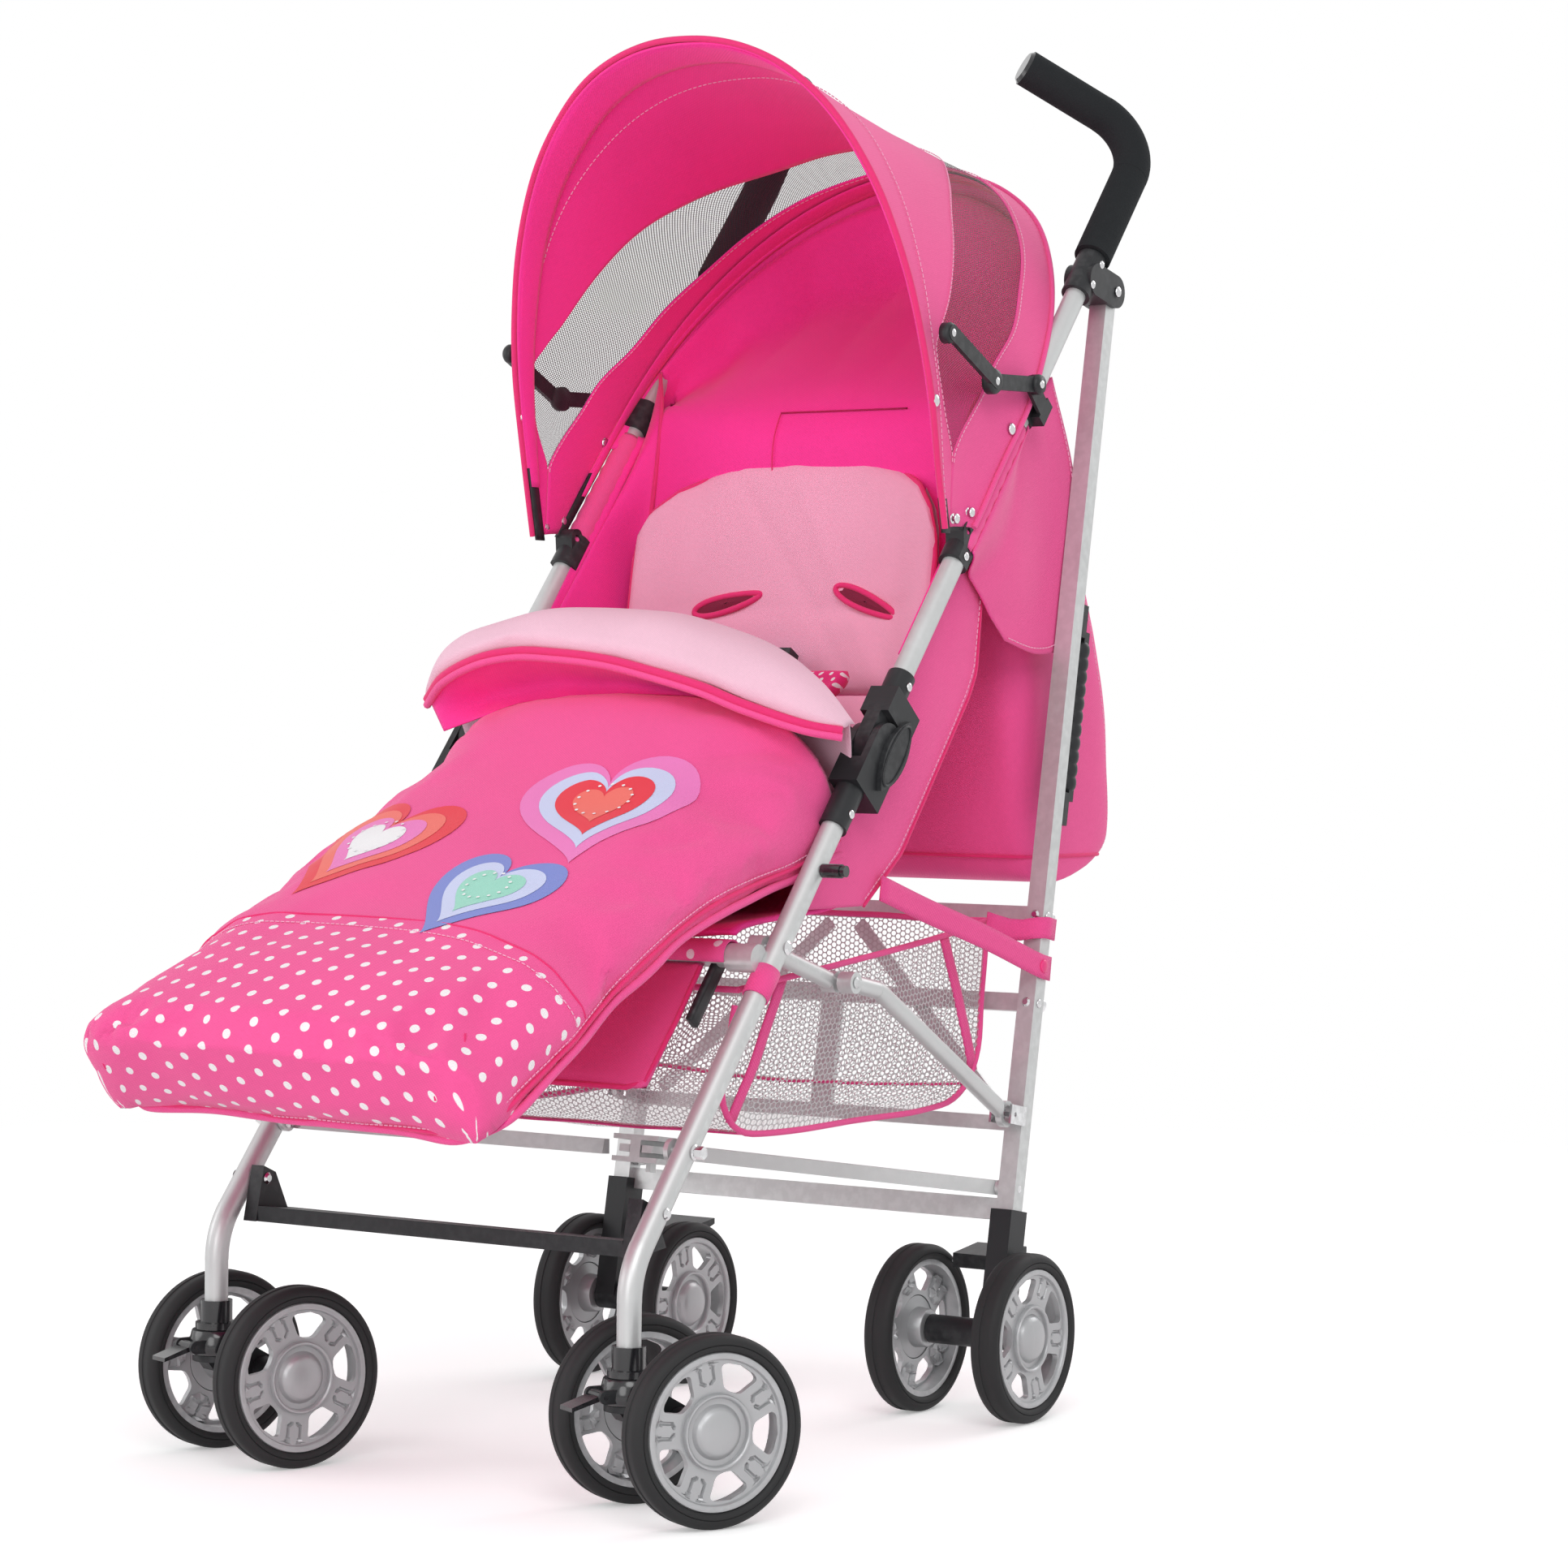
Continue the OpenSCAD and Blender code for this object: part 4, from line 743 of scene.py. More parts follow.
def front_hem(t):
    return min(0.085 + 0.14 * smooth(fold_t(t), 0.1, 0.5), front_edge(t) * 0.75)

trims = [
    line("front_binding", canopy_line(lambda t: 0.0, 0.0), 0.0026, piping_cloth, None, "pink_cloth"),
    line("rear_binding", canopy_line(lambda t: 1.0, 0.001), 0.0024, outer_cloth, None, "pink_cloth"),
    stitches("front_hem_stitch", canopy_line(front_hem, 0.0014), None),
    stitches("front_hem_stitch_inside", canopy_line(front_hem, -0.0016), None),
    stitches("window_front_stitch", canopy_line(lambda t: front_edge(t) - 0.012, 0.0014, 0.06, 0.94), None),
    stitches("window_rear_stitch", canopy_line(lambda t: rear_edge(t) + 0.012, 0.0014, 0.06, 0.94), None),
    stitches("window_rear_stitch_inside", canopy_line(lambda t: rear_edge(t) + 0.012, -0.0016, 0.06, 0.94), None),
]

def support(u, v):
    t = 0.505 + (v - 0.5) * 0.026
    return canopy_point(mix(front_edge(t) - 0.01, rear_edge(t) + 0.01, u), t, -0.0016)

strip = sewn("support_strip", support, 20, 4, (0.08, 0.026), inner_cloth, None, "deep_pink_cloth")
for made in trims + [strip]:
    to_pivots(made)
print("canopy trims:", len(trims))

# %% [markdown]
# Behind the canopy the seat cloth rises from the sides and the backrest to the rear band
# and closes the hood. It hangs as a hollow, with soft creases that run down from the band.

# %% The hood's back wall
def wall_foot(t):
    """The line that the wall hangs down to: the top of the backrest and the side panels."""
    k = (t - 0.5) / 0.4
    x = -184 * math.copysign(min(abs(k) * 1.25, 1), k)
    rise = smooth(abs(k), 0.72, 1.0)
    return at(x, mix(570, 548, rise), mix(800, 812, rise))

def wall_point(u, v, lift=0.0):
    t = mix(0.1, 0.9, v)
    place = mix(canopy_point(0.985, t, -0.003), wall_foot(t), u)
    inside = math.sin(math.pi * min(max(v, 0), 1)) ** 0.7
    belly = math.sin(math.pi * u) ** 0.8 * inside
    centre = at(0, 0, 0).x
    place.x = centre + (place.x - centre) * (1 - 0.03 * smooth(u, 0.0, 0.15))
    place.y += belly * 0.045
    place.z += belly * 0.012
    creases = math.sin(v * 31 + 2.2 * math.sin(u * 3.1)) * 0.5 + math.sin(v * 17 - u * 2.0)
    place.y += creases * 0.0036 * math.sin(math.pi * u) * inside + crumple(place, 0.004, 8.0, 3.0) * belly
    return place + Vector((0, lift, 0))

back_wall = sewn("hood_back_wall", wall_point, 44, 110, (0.3, 0.62), [outer_cloth, inner_cloth], "upper_frame",
                 "deep_pink_cloth", replaces=("rear_hood",))

def back_and_front(made, direction):
    for face in made.data.polygons:
        face.material_index = 0 if face.normal.dot(Vector(direction)) > 0 else 1

back_and_front(back_wall, (0, 0.8, -0.5))
pocket = [wall_point(0.84, mix(0.30, 0.70, k), -0.0016) for k in shares(40)]
stitches("wall_pocket_stitch", pocket, "upper_frame", "deep_pink_cloth", radius=0.0004, material=piping_cloth)
line("wall_rim_piping", [wall_point(0.012, k, -0.002) for k in shares(120)], 0.0028, piping_cloth, "upper_frame",
     "deep_pink_cloth")
print("back wall hung")

# %% Snaps on the canopy's strips
def stud(place, normal, radius=0.005, height=0.0024):
    """A domed metal snap: a short turned cap, set on the cloth."""
    wall = [(radius, -0.0006), (radius, height * 0.35), (radius * 0.9, height * 0.6), (radius * 0.55, height * 0.9)]
    cap = spun([(0, -0.0006), *wall, (0, height)], 20)
    stand(cap, place, normal)
    return cap

def studs(name, places, body, radius=0.005, material=None, slot="steel", height=0.0024):
    whole = bmesh.new()
    for place, normal in places:
        join(whole, stud(place, normal, radius, height))
    return piece(name, whole, material or bright_steel, body, slot)

hood_studs = []
for t in (0.105, 0.895):
    side = 1 if t < 0.5 else -1
    for u in (0.03, 0.93):
        for way in (1, -1):
            hood_studs.append((canopy_point(u, t, 0.0014 * way), (side * way, 0, 0)))
to_pivots(studs("hood_snaps", hood_studs, None))
foot_studs = [(at(s * (204.5 + 1.6 * w), y, z), (s * w, 0, 0)) for s in (1, -1) for w in (1, -1) for y,
              z in ((431, 742), (455, 748))]
studs("pivot_snaps", foot_studs, "upper_frame", radius=0.0042)
print("snaps:", len(hood_studs) + len(foot_studs))

# %% [markdown]
# ## Side panels
# Between the tubes and the backrest hangs one tall panel on each side. On the real stroller it
# folds at the same place as the side tubes; here it is one fixed piece that rides on no body. It is
# drawn from its front edge on the tube to its rear edge, and hangs a little slack.

# %% Side panels
PANEL_FRONT = spaced([along(334, 4), along(406, 4), along(420, 14), along(499.5, 19), along(568, 14),
                      along(586, 2), along(690, -2), along(845, -2)])
PANEL_BACK = spaced([(336, 432), (392, 472), (497, 600), (508, 620), (516, 690), (536, 767), (552, 806)])

def bends_with_sides(made):
    """Bakes the piece's transform into its mesh; the cloth does not bend where the side tubes fold."""
    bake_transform(made)

def side_panel(side, label):
    def f(u, v):
        a, b = table(PANEL_FRONT, v), table(PANEL_BACK, v)
        y, z = mix(a[0], b[0], u), mix(a[1], b[1], u)
        place = at(side * mix(186.4, 181.0, smooth(u, 0.0, 0.12)), y, z)
        slack = math.sin(math.pi * u) * math.sin(math.pi * v)
        place.x += side * (0.0022 * slack + abs(crumple(place, 0.002, 9.0, side * 2.0)) * slack)
        return place
    made = sewn(f"side_panel_{label}", f, 30, 90, (0.13, 0.55), [outer_cloth, inner_cloth], None, "deep_pink_cloth",
                turn=side < 0)
    back_and_front(made, (side, 0, 0))
    bends_with_sides(made)
    return made, f

for side, label in SIDES:
    made, f = side_panel(side, label)
    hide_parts("seat_sides")
    rim_line = [f(1.0, k) for k in shares(60)]
    edge = line(f"side_panel_seam_{label}", rim_line, 0.0016, piping_cloth, None, "deep_pink_cloth")
    bends_with_sides(edge)
    for way, offset in (("outside", 0.0018), ("inside", -0.0018)):
        run = [f(0.93, mix(0.02, 0.98, k)) + Vector((side * offset, 0, 0)) for k in shares(60)]
        seam = stitches(f"side_panel_stitch_{way}_{label}", run, None, "deep_pink_cloth")
        bends_with_sides(seam)
print("side panels hung")

# %% [markdown]
# ## Seat cloth and backrest
# The seat is a sling: it is sewn round the front bar, sinks under the child, and rises to
# the backrest. The backrest is a board in padded cloth. It lies behind the liner.

# %% Seat sling
SEAT_HALF = 169
FRONT_BAR = along(276, -13)
SEAT = spaced([(171, 411), (182, 416), (236, 421), (336, 431), (392, 467), (440, 525), (497, 596)])

def sling(u, v):
    y, z = eased(SEAT, v)
    x = mix(-SEAT_HALF, SEAT_HALF, u)
    edge = smooth(abs(u * 2 - 1), 0.75, 1.0)
    sag = 5 * math.sin(math.pi * v) * (1 - (2 * u - 1) ** 2)
    place = at(x * mix(1.0, 1.06, smooth(v, 0.35, 0.6)), y, z + 4 - sag + 3 * edge)
    return place + Vector((0, 0, crumple(place, 0.002, 10.0)))

sewn("seat_sling", sling, 50, 70, (0.34, 0.42), inner_cloth, "chassis", "deep_pink_cloth", thick=0.004,
     replaces=("seat",))

def lip(u, v):
    """The sling's front edge, wrapped over the bar."""
    a = mix(math.radians(200), math.radians(-20), v)
    y, z = FRONT_BAR
    return at(mix(-SEAT_HALF, SEAT_HALF, u), y + 11.5 * math.cos(a) * -1, z + 11.5 * math.sin(a) + 1)

sewn("seat_lip", lip, 24, 14, (0.338, 0.045), dotted_cloth, "chassis", "pink_cloth")

# %% Padded pieces
def pillow(name, outline, front, back, nu=56, nv=56, material=None, body=None, replaces=(),
           cap=0.006, map_scale=(1, 1)):
    """A pad from two grids that meet at a seam. outline(u, v) gives a flat place, and
    front(p, d) and back(p, d) carry it into space at depth share d, 0 at the seam."""
    bm = bmesh.new()
    bm.loops.layers.uv.new("map")
    for place in (front, back):
        part = bmesh.new()
        bmesh.ops.create_grid(part, x_segments=nu, y_segments=nv, size=0.5)
        uv = part.loops.layers.uv.new("map")
        for face in part.faces:
            for loop in face.loops:
                loop[uv].uv = ((loop.vert.co.x + 0.5) * map_scale[0], (loop.vert.co.y + 0.5) * map_scale[1])
        for vert in part.verts:
            u, v = vert.co.x + 0.5, vert.co.y + 0.5
            near = min(u, 1 - u, v, 1 - v) * 2
            depth = (1 - (1 - min(near / 0.22, 1)) ** 2) ** 0.5
            vert.co = place(outline(u, v), depth)
        join(bm, part)
    bmesh.ops.remove_doubles(bm, verts=bm.verts[:], dist=0.0004)
    bmesh.ops.recalc_face_normals(bm, faces=bm.faces[:])
    made = piece(name, bm, material)
    puff(made, cap)
    if replaces:
        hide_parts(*replaces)
    if body:
        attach(made, body)
    return made

def puff(made, cap, pressure=4.0, frames=16):
    """Lets the stuffing press the cover out, as far as cap allows, and keeps the result."""
    scene = bpy.context.scene
    before = [v.co.copy() for v in made.data.vertices]
    cloth_mod = made.modifiers.new("stuffing", "CLOTH")
    settings = cloth_mod.settings
    settings.quality, settings.mass, settings.tension_stiffness, settings.bending_stiffness = 4, 0.3, 12.0, 0.4
    settings.use_pressure, settings.uniform_pressure_force = True, pressure
    settings.shrink_min = -0.02
    settings.effector_weights.gravity = 0
    cloth_mod.collision_settings.use_collision = False
    cloth_mod.point_cache.frame_start, cloth_mod.point_cache.frame_end = 1, frames
    scene.frame_start, scene.frame_end = 1, frames
    for step in range(1, frames + 1):
        scene.frame_set(step)
    settled = made.evaluated_get(bpy.context.evaluated_depsgraph_get()).data
    after = [v.co.copy() for v in settled.vertices]
    made.modifiers.remove(cloth_mod)
    scene.frame_set(1)
    for vert, old, new in zip(made.data.vertices, before, after):
        move = new - old
        vert.co = old + move * min(1, cap / max(move.length, 1e-9))
    most = min(cap, max((new - old).length for old, new in zip(before, after)))
    print(f"{made.name}: swelled by up to {most * 1000:.1f} mm")

# %% Backrest and liner
BACK_LEAN, BACK_FOOT = math.radians(9.5), (503, 606)

def on_back(x, local_y, local_z):
    """A point of the backrest's own frame, at rest."""
    return leaned(x, BACK_FOOT, BACK_LEAN, local_y, local_z)

def back_outline(u, v):
    return (mix(-160, 160, u), mix(4, 254, v))

pillow("backrest_pad", back_outline, lambda p, d: on_back(p[0], 9 - 7 * d, p[1]), lambda p,
       d: on_back(p[0], 9 + 7 * d, p[1]),
       material=inner_cloth, body="backrest", replaces=("seat_back",), cap=0.002)

LINER_HALF = 150

def liner_top(x):
    """The liner's top edge is a broad arch; this is its height over the backrest's foot."""
    return table([(0, 194), (60, 192), (95, 183), (120, 168), (138, 148), (148, 124), (152, 96)], abs(x))[0]

def liner_outline(u, v):
    x = mix(-LINER_HALF, LINER_HALF, u)
    return (x, mix(-6, liner_top(x), v))

def liner_curl(x):
    """How far the liner's sides come forward, to cradle the child."""
    return 26 * smooth(abs(x), 96, 152)

def liner_front(p, d):
    x, z = p
    dent = 0.0
    for cx in (-62, 70):
        dent += 4.0 * math.exp(-((x - cx) / 40) ** 2 - ((z - 66) / 9) ** 2)
    ripple = 1.9 * math.sin(z / 21 + 1.1 * math.sin(x / 45)) * math.sin(x / 60 + 1.0)
    ridge = 1.5 * math.exp(-((x - 96 + 0.55 * z) / 9) ** 2)
    trough = 1.4 * math.exp(-((x - 72 + 0.75 * z) / 8) ** 2)
    rib = ripple + ridge - trough
    return on_back(x, -1.0 - liner_curl(x) - (8.5 + rib) * d + dent * d, z)

pillow("liner_back", liner_outline, liner_front, lambda p, d: on_back(p[0], -0.4 - liner_curl(p[0]), p[1]),
       nu=80, nv=64, material=blush_cloth, body="backrest", replaces=("seat_liner",),
       cap=0.005)
rim_points = []
for k in range(121):
    x = mix(-151, 151, k / 120)
    rim_points.append(on_back(x, -5 - liner_curl(x), liner_top(x) + 1))
low_left = [on_back(-151, -31, mix(0, liner_top(151), k / 10)) for k in range(10)]
low_right = [on_back(151, -31, mix(liner_top(151), 0, k / 10)) for k in range(1, 11)]
line("liner_back_piping", low_left + rim_points + low_right, 0.0026, piping_cloth, "backrest", "deep_pink_cloth")

LINER = spaced([(212, 427), (262, 432), (336, 441), (384, 474), (432, 532), (488, 600)])

def liner_seat(side):
    def carry(p, d):
        y, z = eased(LINER, p[1])
        y2, z2 = eased(LINER, min(p[1] + 0.02, 1))
        y1, z1 = eased(LINER, max(p[1] - 0.02, 0))
        n = Vector((0, -(z2 - z1), y2 - y1)).normalized()
        rib = 0.0012 * math.sin(p[1] * 26 + math.sin(p[0] / 50))
        lift = 0.0012 + (0.0085 * d + rib * d if side else 0.0)
        curl = 0.02 * smooth(abs(p[0]), 96, LINER_HALF)
        return at(p[0], y, z) + n * (lift + curl)
    return carry

pillow("liner_seat", lambda u, v: (mix(-LINER_HALF, LINER_HALF, u), v), liner_seat(1), liner_seat(0), nu=70, nv=80,
       material=blush_cloth, body="chassis", cap=0.005)
for side, label in SIDES:
    edge = [at(side * 151, *eased(LINER, k)) + Vector((0, -0.012, 0.018)) for k in shares(40)]
    line(f"liner_seat_piping_{label}", edge, 0.0026, piping_cloth, "chassis", "deep_pink_cloth")

# %% Harness slots, straps and the crotch pad
def slot(cx, lean, label):
    """A slot for the straps: a slim slit with a piped lip all round. Its recess is a very dark cloth ring, painted
    shade for the dark inside of the slit.
    """
    def rim(a, share):
        x, z = 34 * share * math.cos(a), 6.5 * share * math.sin(a) * (1 - 0.35 * math.cos(a))
        c, s = math.cos(lean), math.sin(lean)
        return on_back(cx + c * x - s * z, -13.4 - 2.5 * (1 - share), 70 + s * x + c * z)
    slit = grid(lambda u, v: rim(math.tau * v, mix(0.05, 0.95, u)), 3, 60, (0.006, 0.07))
    bmesh.ops.recalc_face_normals(slit, faces=slit.faces[:])
    piece(f"slot_painted_shade_{label}", slit, slit_painted_shade, "backrest", "deep_pink_cloth")
    line(f"slot_piping_{label}", [rim(k * math.tau / 60, 1.0) for k in range(60)], 0.0026, piping_cloth, "backrest",
         "deep_pink_cloth", closed=True)

slot(-62, math.radians(13), "right")
slot(78, math.radians(-22), "left")

strap("crotch_strap", [at(0, 424, 520), at(0, 428, 545), at(0, 444, 585), at(0, 456, 606)], 0.038, (1, 0, 0),
      "chassis", webbing)
pad_path = spaced([(402, 540), (412, 566), (424, 594), (438, 618)])

def pad_point(which):
    def carry(p, d):
        y, z = eased(pad_path, p[1])
        return at(p[0] + mix(6, 92, p[1]), y - 10 - which * 7 * d, z + which * 3 * d)
    return carry

def pad_outline(u, v):
    half = 29 * (1 - max(0, (v - 0.75) / 0.25) ** 2 * 0.55)
    return (mix(-half, half, u), v)

pillow("crotch_pad", pad_outline, pad_point(1), pad_point(-1), nu=24, nv=36, material=dotted_pad, body="chassis",
       replaces=("harness",), cap=0.003, map_scale=(0.058, 0.12))
for side, label in SIDES:
    run = [at(side * x, y, z) for x, y, z in ((24, 452, 600), (70, 449, 578), (120, 442, 552), (146, 438, 540))]
    strap(f"waist_strap_{label}", run, 0.02, (0, 0.3, 1), "chassis", dull_black, slot="black_plastic")
print("harness made")

# %% [markdown]
# ## Bag behind the seat
# A deep cloth bag hangs behind the backrest. It is a loft of rounded sections, full at
# the bottom and slack at the top, with creases that run from its upper corners.

# %% Bag
BAG = [(0.0, 442, 640, 668), (0.03, 446, 622, 702), (0.08, 458, 612, 748), (0.15, 480, 606, 780),
       (0.3, 540, 603, 780), (0.5, 612, 600, 773), (0.7, 686, 600, 742), (0.87, 750, 602, 706),
       (0.96, 790, 603, 682), (1.0, 806, 608, 664)]

def bag_point(u, v, lift=0.0):
    z, front, rear = eased(BAG, v)
    a = math.tau * u
    c, s = math.cos(a), math.sin(a)
    x = 173 * math.copysign(abs(c) ** 0.22, c)
    depth = math.copysign(abs(s) ** 0.34, s)
    place = at(x, mix(front, rear, (depth + 1) / 2), z)
    hang = math.sin(math.pi * min(v * 1.05, 1))
    crease = 0.006 * math.sin(6.5 * u * math.tau + 4 * v) * hang * abs(s) * (0.4 + 0.6 * v)
    belly = 0.008 * hang * max(0, s) * (1 - (x / 175) ** 2)
    place.y += crease * 0.5 + belly
    place.x -= math.copysign(0.012 * hang * (1 - abs(s)) * smooth(v, 0.25, 0.8), x)
    dents = Vector((crumple(place, 0.002, 9.0, 5.0), crumple(place, 0.003, 9.0), 0))
    return place + Vector((0, lift, 0)) * s + dents

bag_sheet = grid(bag_point, 120, 60, (1.0, 0.42))
bmesh.ops.remove_doubles(bag_sheet, verts=bag_sheet.verts[:], dist=0.0003)
open_rings = [e for e in bag_sheet.edges if e.is_boundary]
bmesh.ops.holes_fill(bag_sheet, edges=open_rings, sides=400)
bmesh.ops.triangulate(bag_sheet, faces=[f for f in bag_sheet.faces if len(f.verts) > 4])
bmesh.ops.recalc_face_normals(bag_sheet, faces=bag_sheet.faces[:])
bag = piece("back_bag", bag_sheet, outer_cloth, slot="pink_cloth")
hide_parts("back_pouch")

def with_backrest(made):
    """Bakes the piece's transform into its mesh. On the real stroller the bag's top goes with the backrest and its
    foot stays with the frame; here the bag rides on no body.
    """
    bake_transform(made)

with_backrest(bag)
for label, ring in (("rim", 0.955), ("foot", 0.1)):
    seam = line(f"bag_{label}_seam", [bag_point(k / 160, ring, 0.0014) for k in range(160)], 0.0016, piping_cloth,
                None, "deep_pink_cloth", closed=True)
    with_backrest(seam)
for label, share in (("left", 0.06), ("right", 0.44)):
    seam = stitches(f"bag_side_stitch_{label}", [bag_point(share, mix(0.1, 0.95, k), 0.0016) for k in shares(50)],
                    None)
    with_backrest(seam)

# %% Lining round the seat
def lining_rows(v):
    """The lining leaves the wall above the backrest, falls over its top and down its face."""
    x = mix(-158, 158, v)
    start, middle = (wall_point(u, mix(0.88, 0.12, v), -0.008) for u in (0.07, 0.42))
    return [(0.0, *start), (0.24, *middle), (0.5, *on_back(x, -5, 238)), (0.76, *on_back(x, -3.5, 150)),
            (1.0, *on_back(x, -2.5, 55))]

def lining_point(u, v):
    place = Vector(eased(lining_rows(v), u))
    slack = math.sin(math.pi * min(u / 0.46, 1))
    fold = 0.005 * math.sin(v * 19 + u * 3) * slack + crumple(place, 0.005, 7.0, 6.0) * slack
    place.y -= abs(fold)
    return place

lining = sewn("seat_back_lining", lining_point, 46, 90, (0.27, 0.33), inner_cloth, None, "deep_pink_cloth")
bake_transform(lining)
pocket_run = [lining_point(0.5, mix(0.4, 0.8, k)) for k in shares(40)]
pocket_run += [lining_point(mix(0.5, 0.68, k), 0.4) for k in shares(16)]
line("pocket_seam", [p + Vector((0, -0.0016, 0)) for p in pocket_run], 0.0007, piping_cloth, "backrest",
     "deep_pink_cloth")

def wing(side, label):
    """Cloth from the tube to the backrest, closing the seat at one side."""
    top = lining_rows(1.0 if side > 0 else 0.0)[0][1:]
    inner = spaced([tuple(on_back(side * 158, -3, z)) for z in (-4, 55, 150, 238)] + [top])
    outer = spaced([tuple(at(side * 179.5, *along(s, 3))) for s in (596, 700, 846)])
    def f(u, v):
        place = mix(Vector(table(outer, v)), Vector(eased(inner, v)), u)
        slack = math.sin(math.pi * u) * math.sin(math.pi * min(v * 1.3, 1))
        place.y += 0.016 * slack
        place.x -= side * 0.004 * slack
        return place + Vector((side * crumple(place, 0.006, 7.0, side), 0, 0)) * slack
    made = sewn(f"side_wing_{label}", f, 26, 60, (0.09, 0.3), [outer_cloth, inner_cloth], None, "deep_pink_cloth",
                turn=side > 0)
    back_and_front(made, (0, 1, 0))
    run = [f(0.97, mix(0.3, 0.99, k)) + Vector((-side * 0.001, -0.002, 0)) for k in shares(40)]
    seam = line(f"side_wing_seam_{label}", run, 0.0018, piping_cloth, None, "deep_pink_cloth")
    for part in (made, seam):
        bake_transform(part)

for side, label in SIDES:
    wing(side, label)

# %% Cloth behind the seat
REAR_EDGE = spaced([(548, 646), (606, 636), (648, 646), (674, 706), (662, 790), (622, 871)])

def outer_wing(side, label):
    """The canopy's side cloth: it wraps the tube and falls over the bag's side."""
    front = spaced([along(s, 4) for s in (706, 780, 843)])
    def f(u, v):
        a, b = table(front, v), eased(REAR_EDGE, v)
        k = smooth(u, 0.0, 0.3)
        x = side * (mix(206.2, 185.6, k) + 3 * math.sin(math.pi * min(u / 0.7, 1)) * k)
        place = at(x, mix(a[0], b[0], u), mix(a[1], b[1], u))
        slack = math.sin(math.pi * u) * math.sin(math.pi * v)
        wave = 0.0035 * math.sin(9 * u + 5 * v)
        return place + Vector((-side * wave * 0.4 * slack, crumple(place, 0.004, 8.0, side * 3) * slack, 0))
    made = sewn(f"outer_wing_{label}", f, 36, 50, (0.2, 0.33), [outer_cloth, inner_cloth], None, "pink_cloth",
                turn=side < 0)
    back_and_front(made, (side, 0, 0))
    run = [f(0.95, mix(0.02, 0.98, k)) + Vector((side * 0.0016, 0, 0)) for k in shares(50)]
    seam = stitches(f"outer_wing_stitch_{label}", run, None)
    for part in (made, seam):
        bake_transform(part)
    gathers = [(0.0104 + 0.0010 * math.sin(k * 1.9) ** 2, 0.004 + 0.131 * k / 20) for k in range(21)]
    sleeve = spun([(0.0098, 0.0)] + gathers + [(0.0098, 0.138), (0.0098, 0.0)], 28)
    stand(sleeve, at(side * SIDE, *along(705)), TUBE_WAY)
    piece(f"tube_tunnel_{label}", sleeve, outer_cloth, "upper_frame", "pink_cloth")

for side, label in SIDES:
    outer_wing(side, label)

bag_tree = tree_of(bag)

def skirt_point(u, v):
    """The canopy's rear skirt falls from the wall over the bag, and lies on it."""
    t = mix(0.12, 0.88, 1 - v)
    start = wall_point(0.5, t, 0.004)
    x = mix(-183, 183, v)
    edge = smooth(abs(2 * v - 1), 0.72, 1.0)
    start = mix(start, at(x, 622, 871), edge)
    drop = [(0.0, *start), (0.45, *at(x, mix(674, 664, edge), mix(800, 790, edge))),
            (1.0, *at(x, mix(752, 686, edge), 706))]
    place = Vector(eased(drop, u))
    place.y += 0.003 * math.sin(v * 24) * u + crumple(place, 0.004, 8.0, 2.0) * u
    met = bag_tree.ray_cast(place + Vector((0, 0.2, 0)), Vector((0, -1, 0)), 0.2)[0]
    if met:
        place.y = max(place.y, met.y + 0.005)
    return place

skirt = sewn("canopy_skirt", skirt_point, 40, 80, (0.26, 0.38), [outer_cloth, inner_cloth], None, "pink_cloth")
back_and_front(skirt, (0, 1, 0.3))
hem_line = [skirt_point(0.95, mix(0.02, 0.98, k)) + Vector((0, 0.002, 0)) for k in shares(80)]
skirt_hem = stitches("canopy_skirt_hem", hem_line, None)
for part in (skirt, skirt_hem):
    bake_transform(part)
print("bag, lining, wings and skirt hung")

# %% [markdown]
# ## Footmuff
# The footmuff is a padded sack for the child's legs. Its cover is one lid of cloth that
# folds down at both sides and over the toes, and a flat back; they meet at a zipped
# seam. The toe panel is dotted, and its upper edge is a row of the grid, so the two
# cloths meet on a clean line. The stuffing is pressed out by a short cloth simulation.

# %% Footmuff shape
MUFF_HALF = 190
MUFF_UP = math.atan2(118, 227)    # the slope of the muff's top
MUFF = [(0.0, -196, 346, -150, 284, 183), (0.075, -186, 357, -120, 302, 189), (0.25, -66, 404, -34, 354, 190),
        (0.38, 4, 434, 13, 384, 190), (0.60, 112, 491, 124, 430, 189), (0.80, 204, 537, 215, 449, 183), (1.0, 266, 566, 300, 474, 180)]
TOE = 0.075

def toe_seam(x):
    """Where the dotted panel ends; it is higher at the child's left."""
    return -34 - 24 * (x / MUFF_HALF) ** 2 - 14 * x / MUFF_HALF

def muff_section(s):
    """Top and bottom points and the half width at a share s of the muff's length."""
    return eased(MUFF, min(max(s, 0), 1))

def muff_lid(u, s, height=1.0):
    a = math.pi * (1 - u)
    n = mix(4.2, 5.0, smooth(s, 0.0, 0.25))
    c, sn = math.cos(a), max(math.sin(a), 0.0)
    side = math.copysign(abs(c) ** (2 / n), c)
    up_share = sn ** (2 / n)
    toe = 1.0
    if s < TOE:
        b = math.acos(max(0.0, 1 - s / TOE))
        toe = math.sin(b) ** 0.6
    ty, tz, by, bz, half = muff_section(s)
    h = up_share * toe * height
    near_toe = 1 - smooth(s, 0.0, 0.3)
    by += near_toe * mix(30, -12, (side + 1) / 2)
    crown = (9 * smooth(s, 0, 0.2) + 26 * smooth(s, 0.68, 1.0)) * (1 - side * side) * toe * (1 if height > 0 else 0)
    return at(side * half * (0.965 + 0.035 * toe), mix(by, ty, h) - crown * 0.46, mix(bz, tz, h) + crown * 0.89)

def s_of_y(y):
    low_s, high_s = 0.0, 1.0
    for _ in range(24):
        mid_s = (low_s + high_s) / 2
        if muff_section(mid_s)[0] < y:
            low_s = mid_s
        else:
            high_s = mid_s
    return low_s

ROW = 0.34

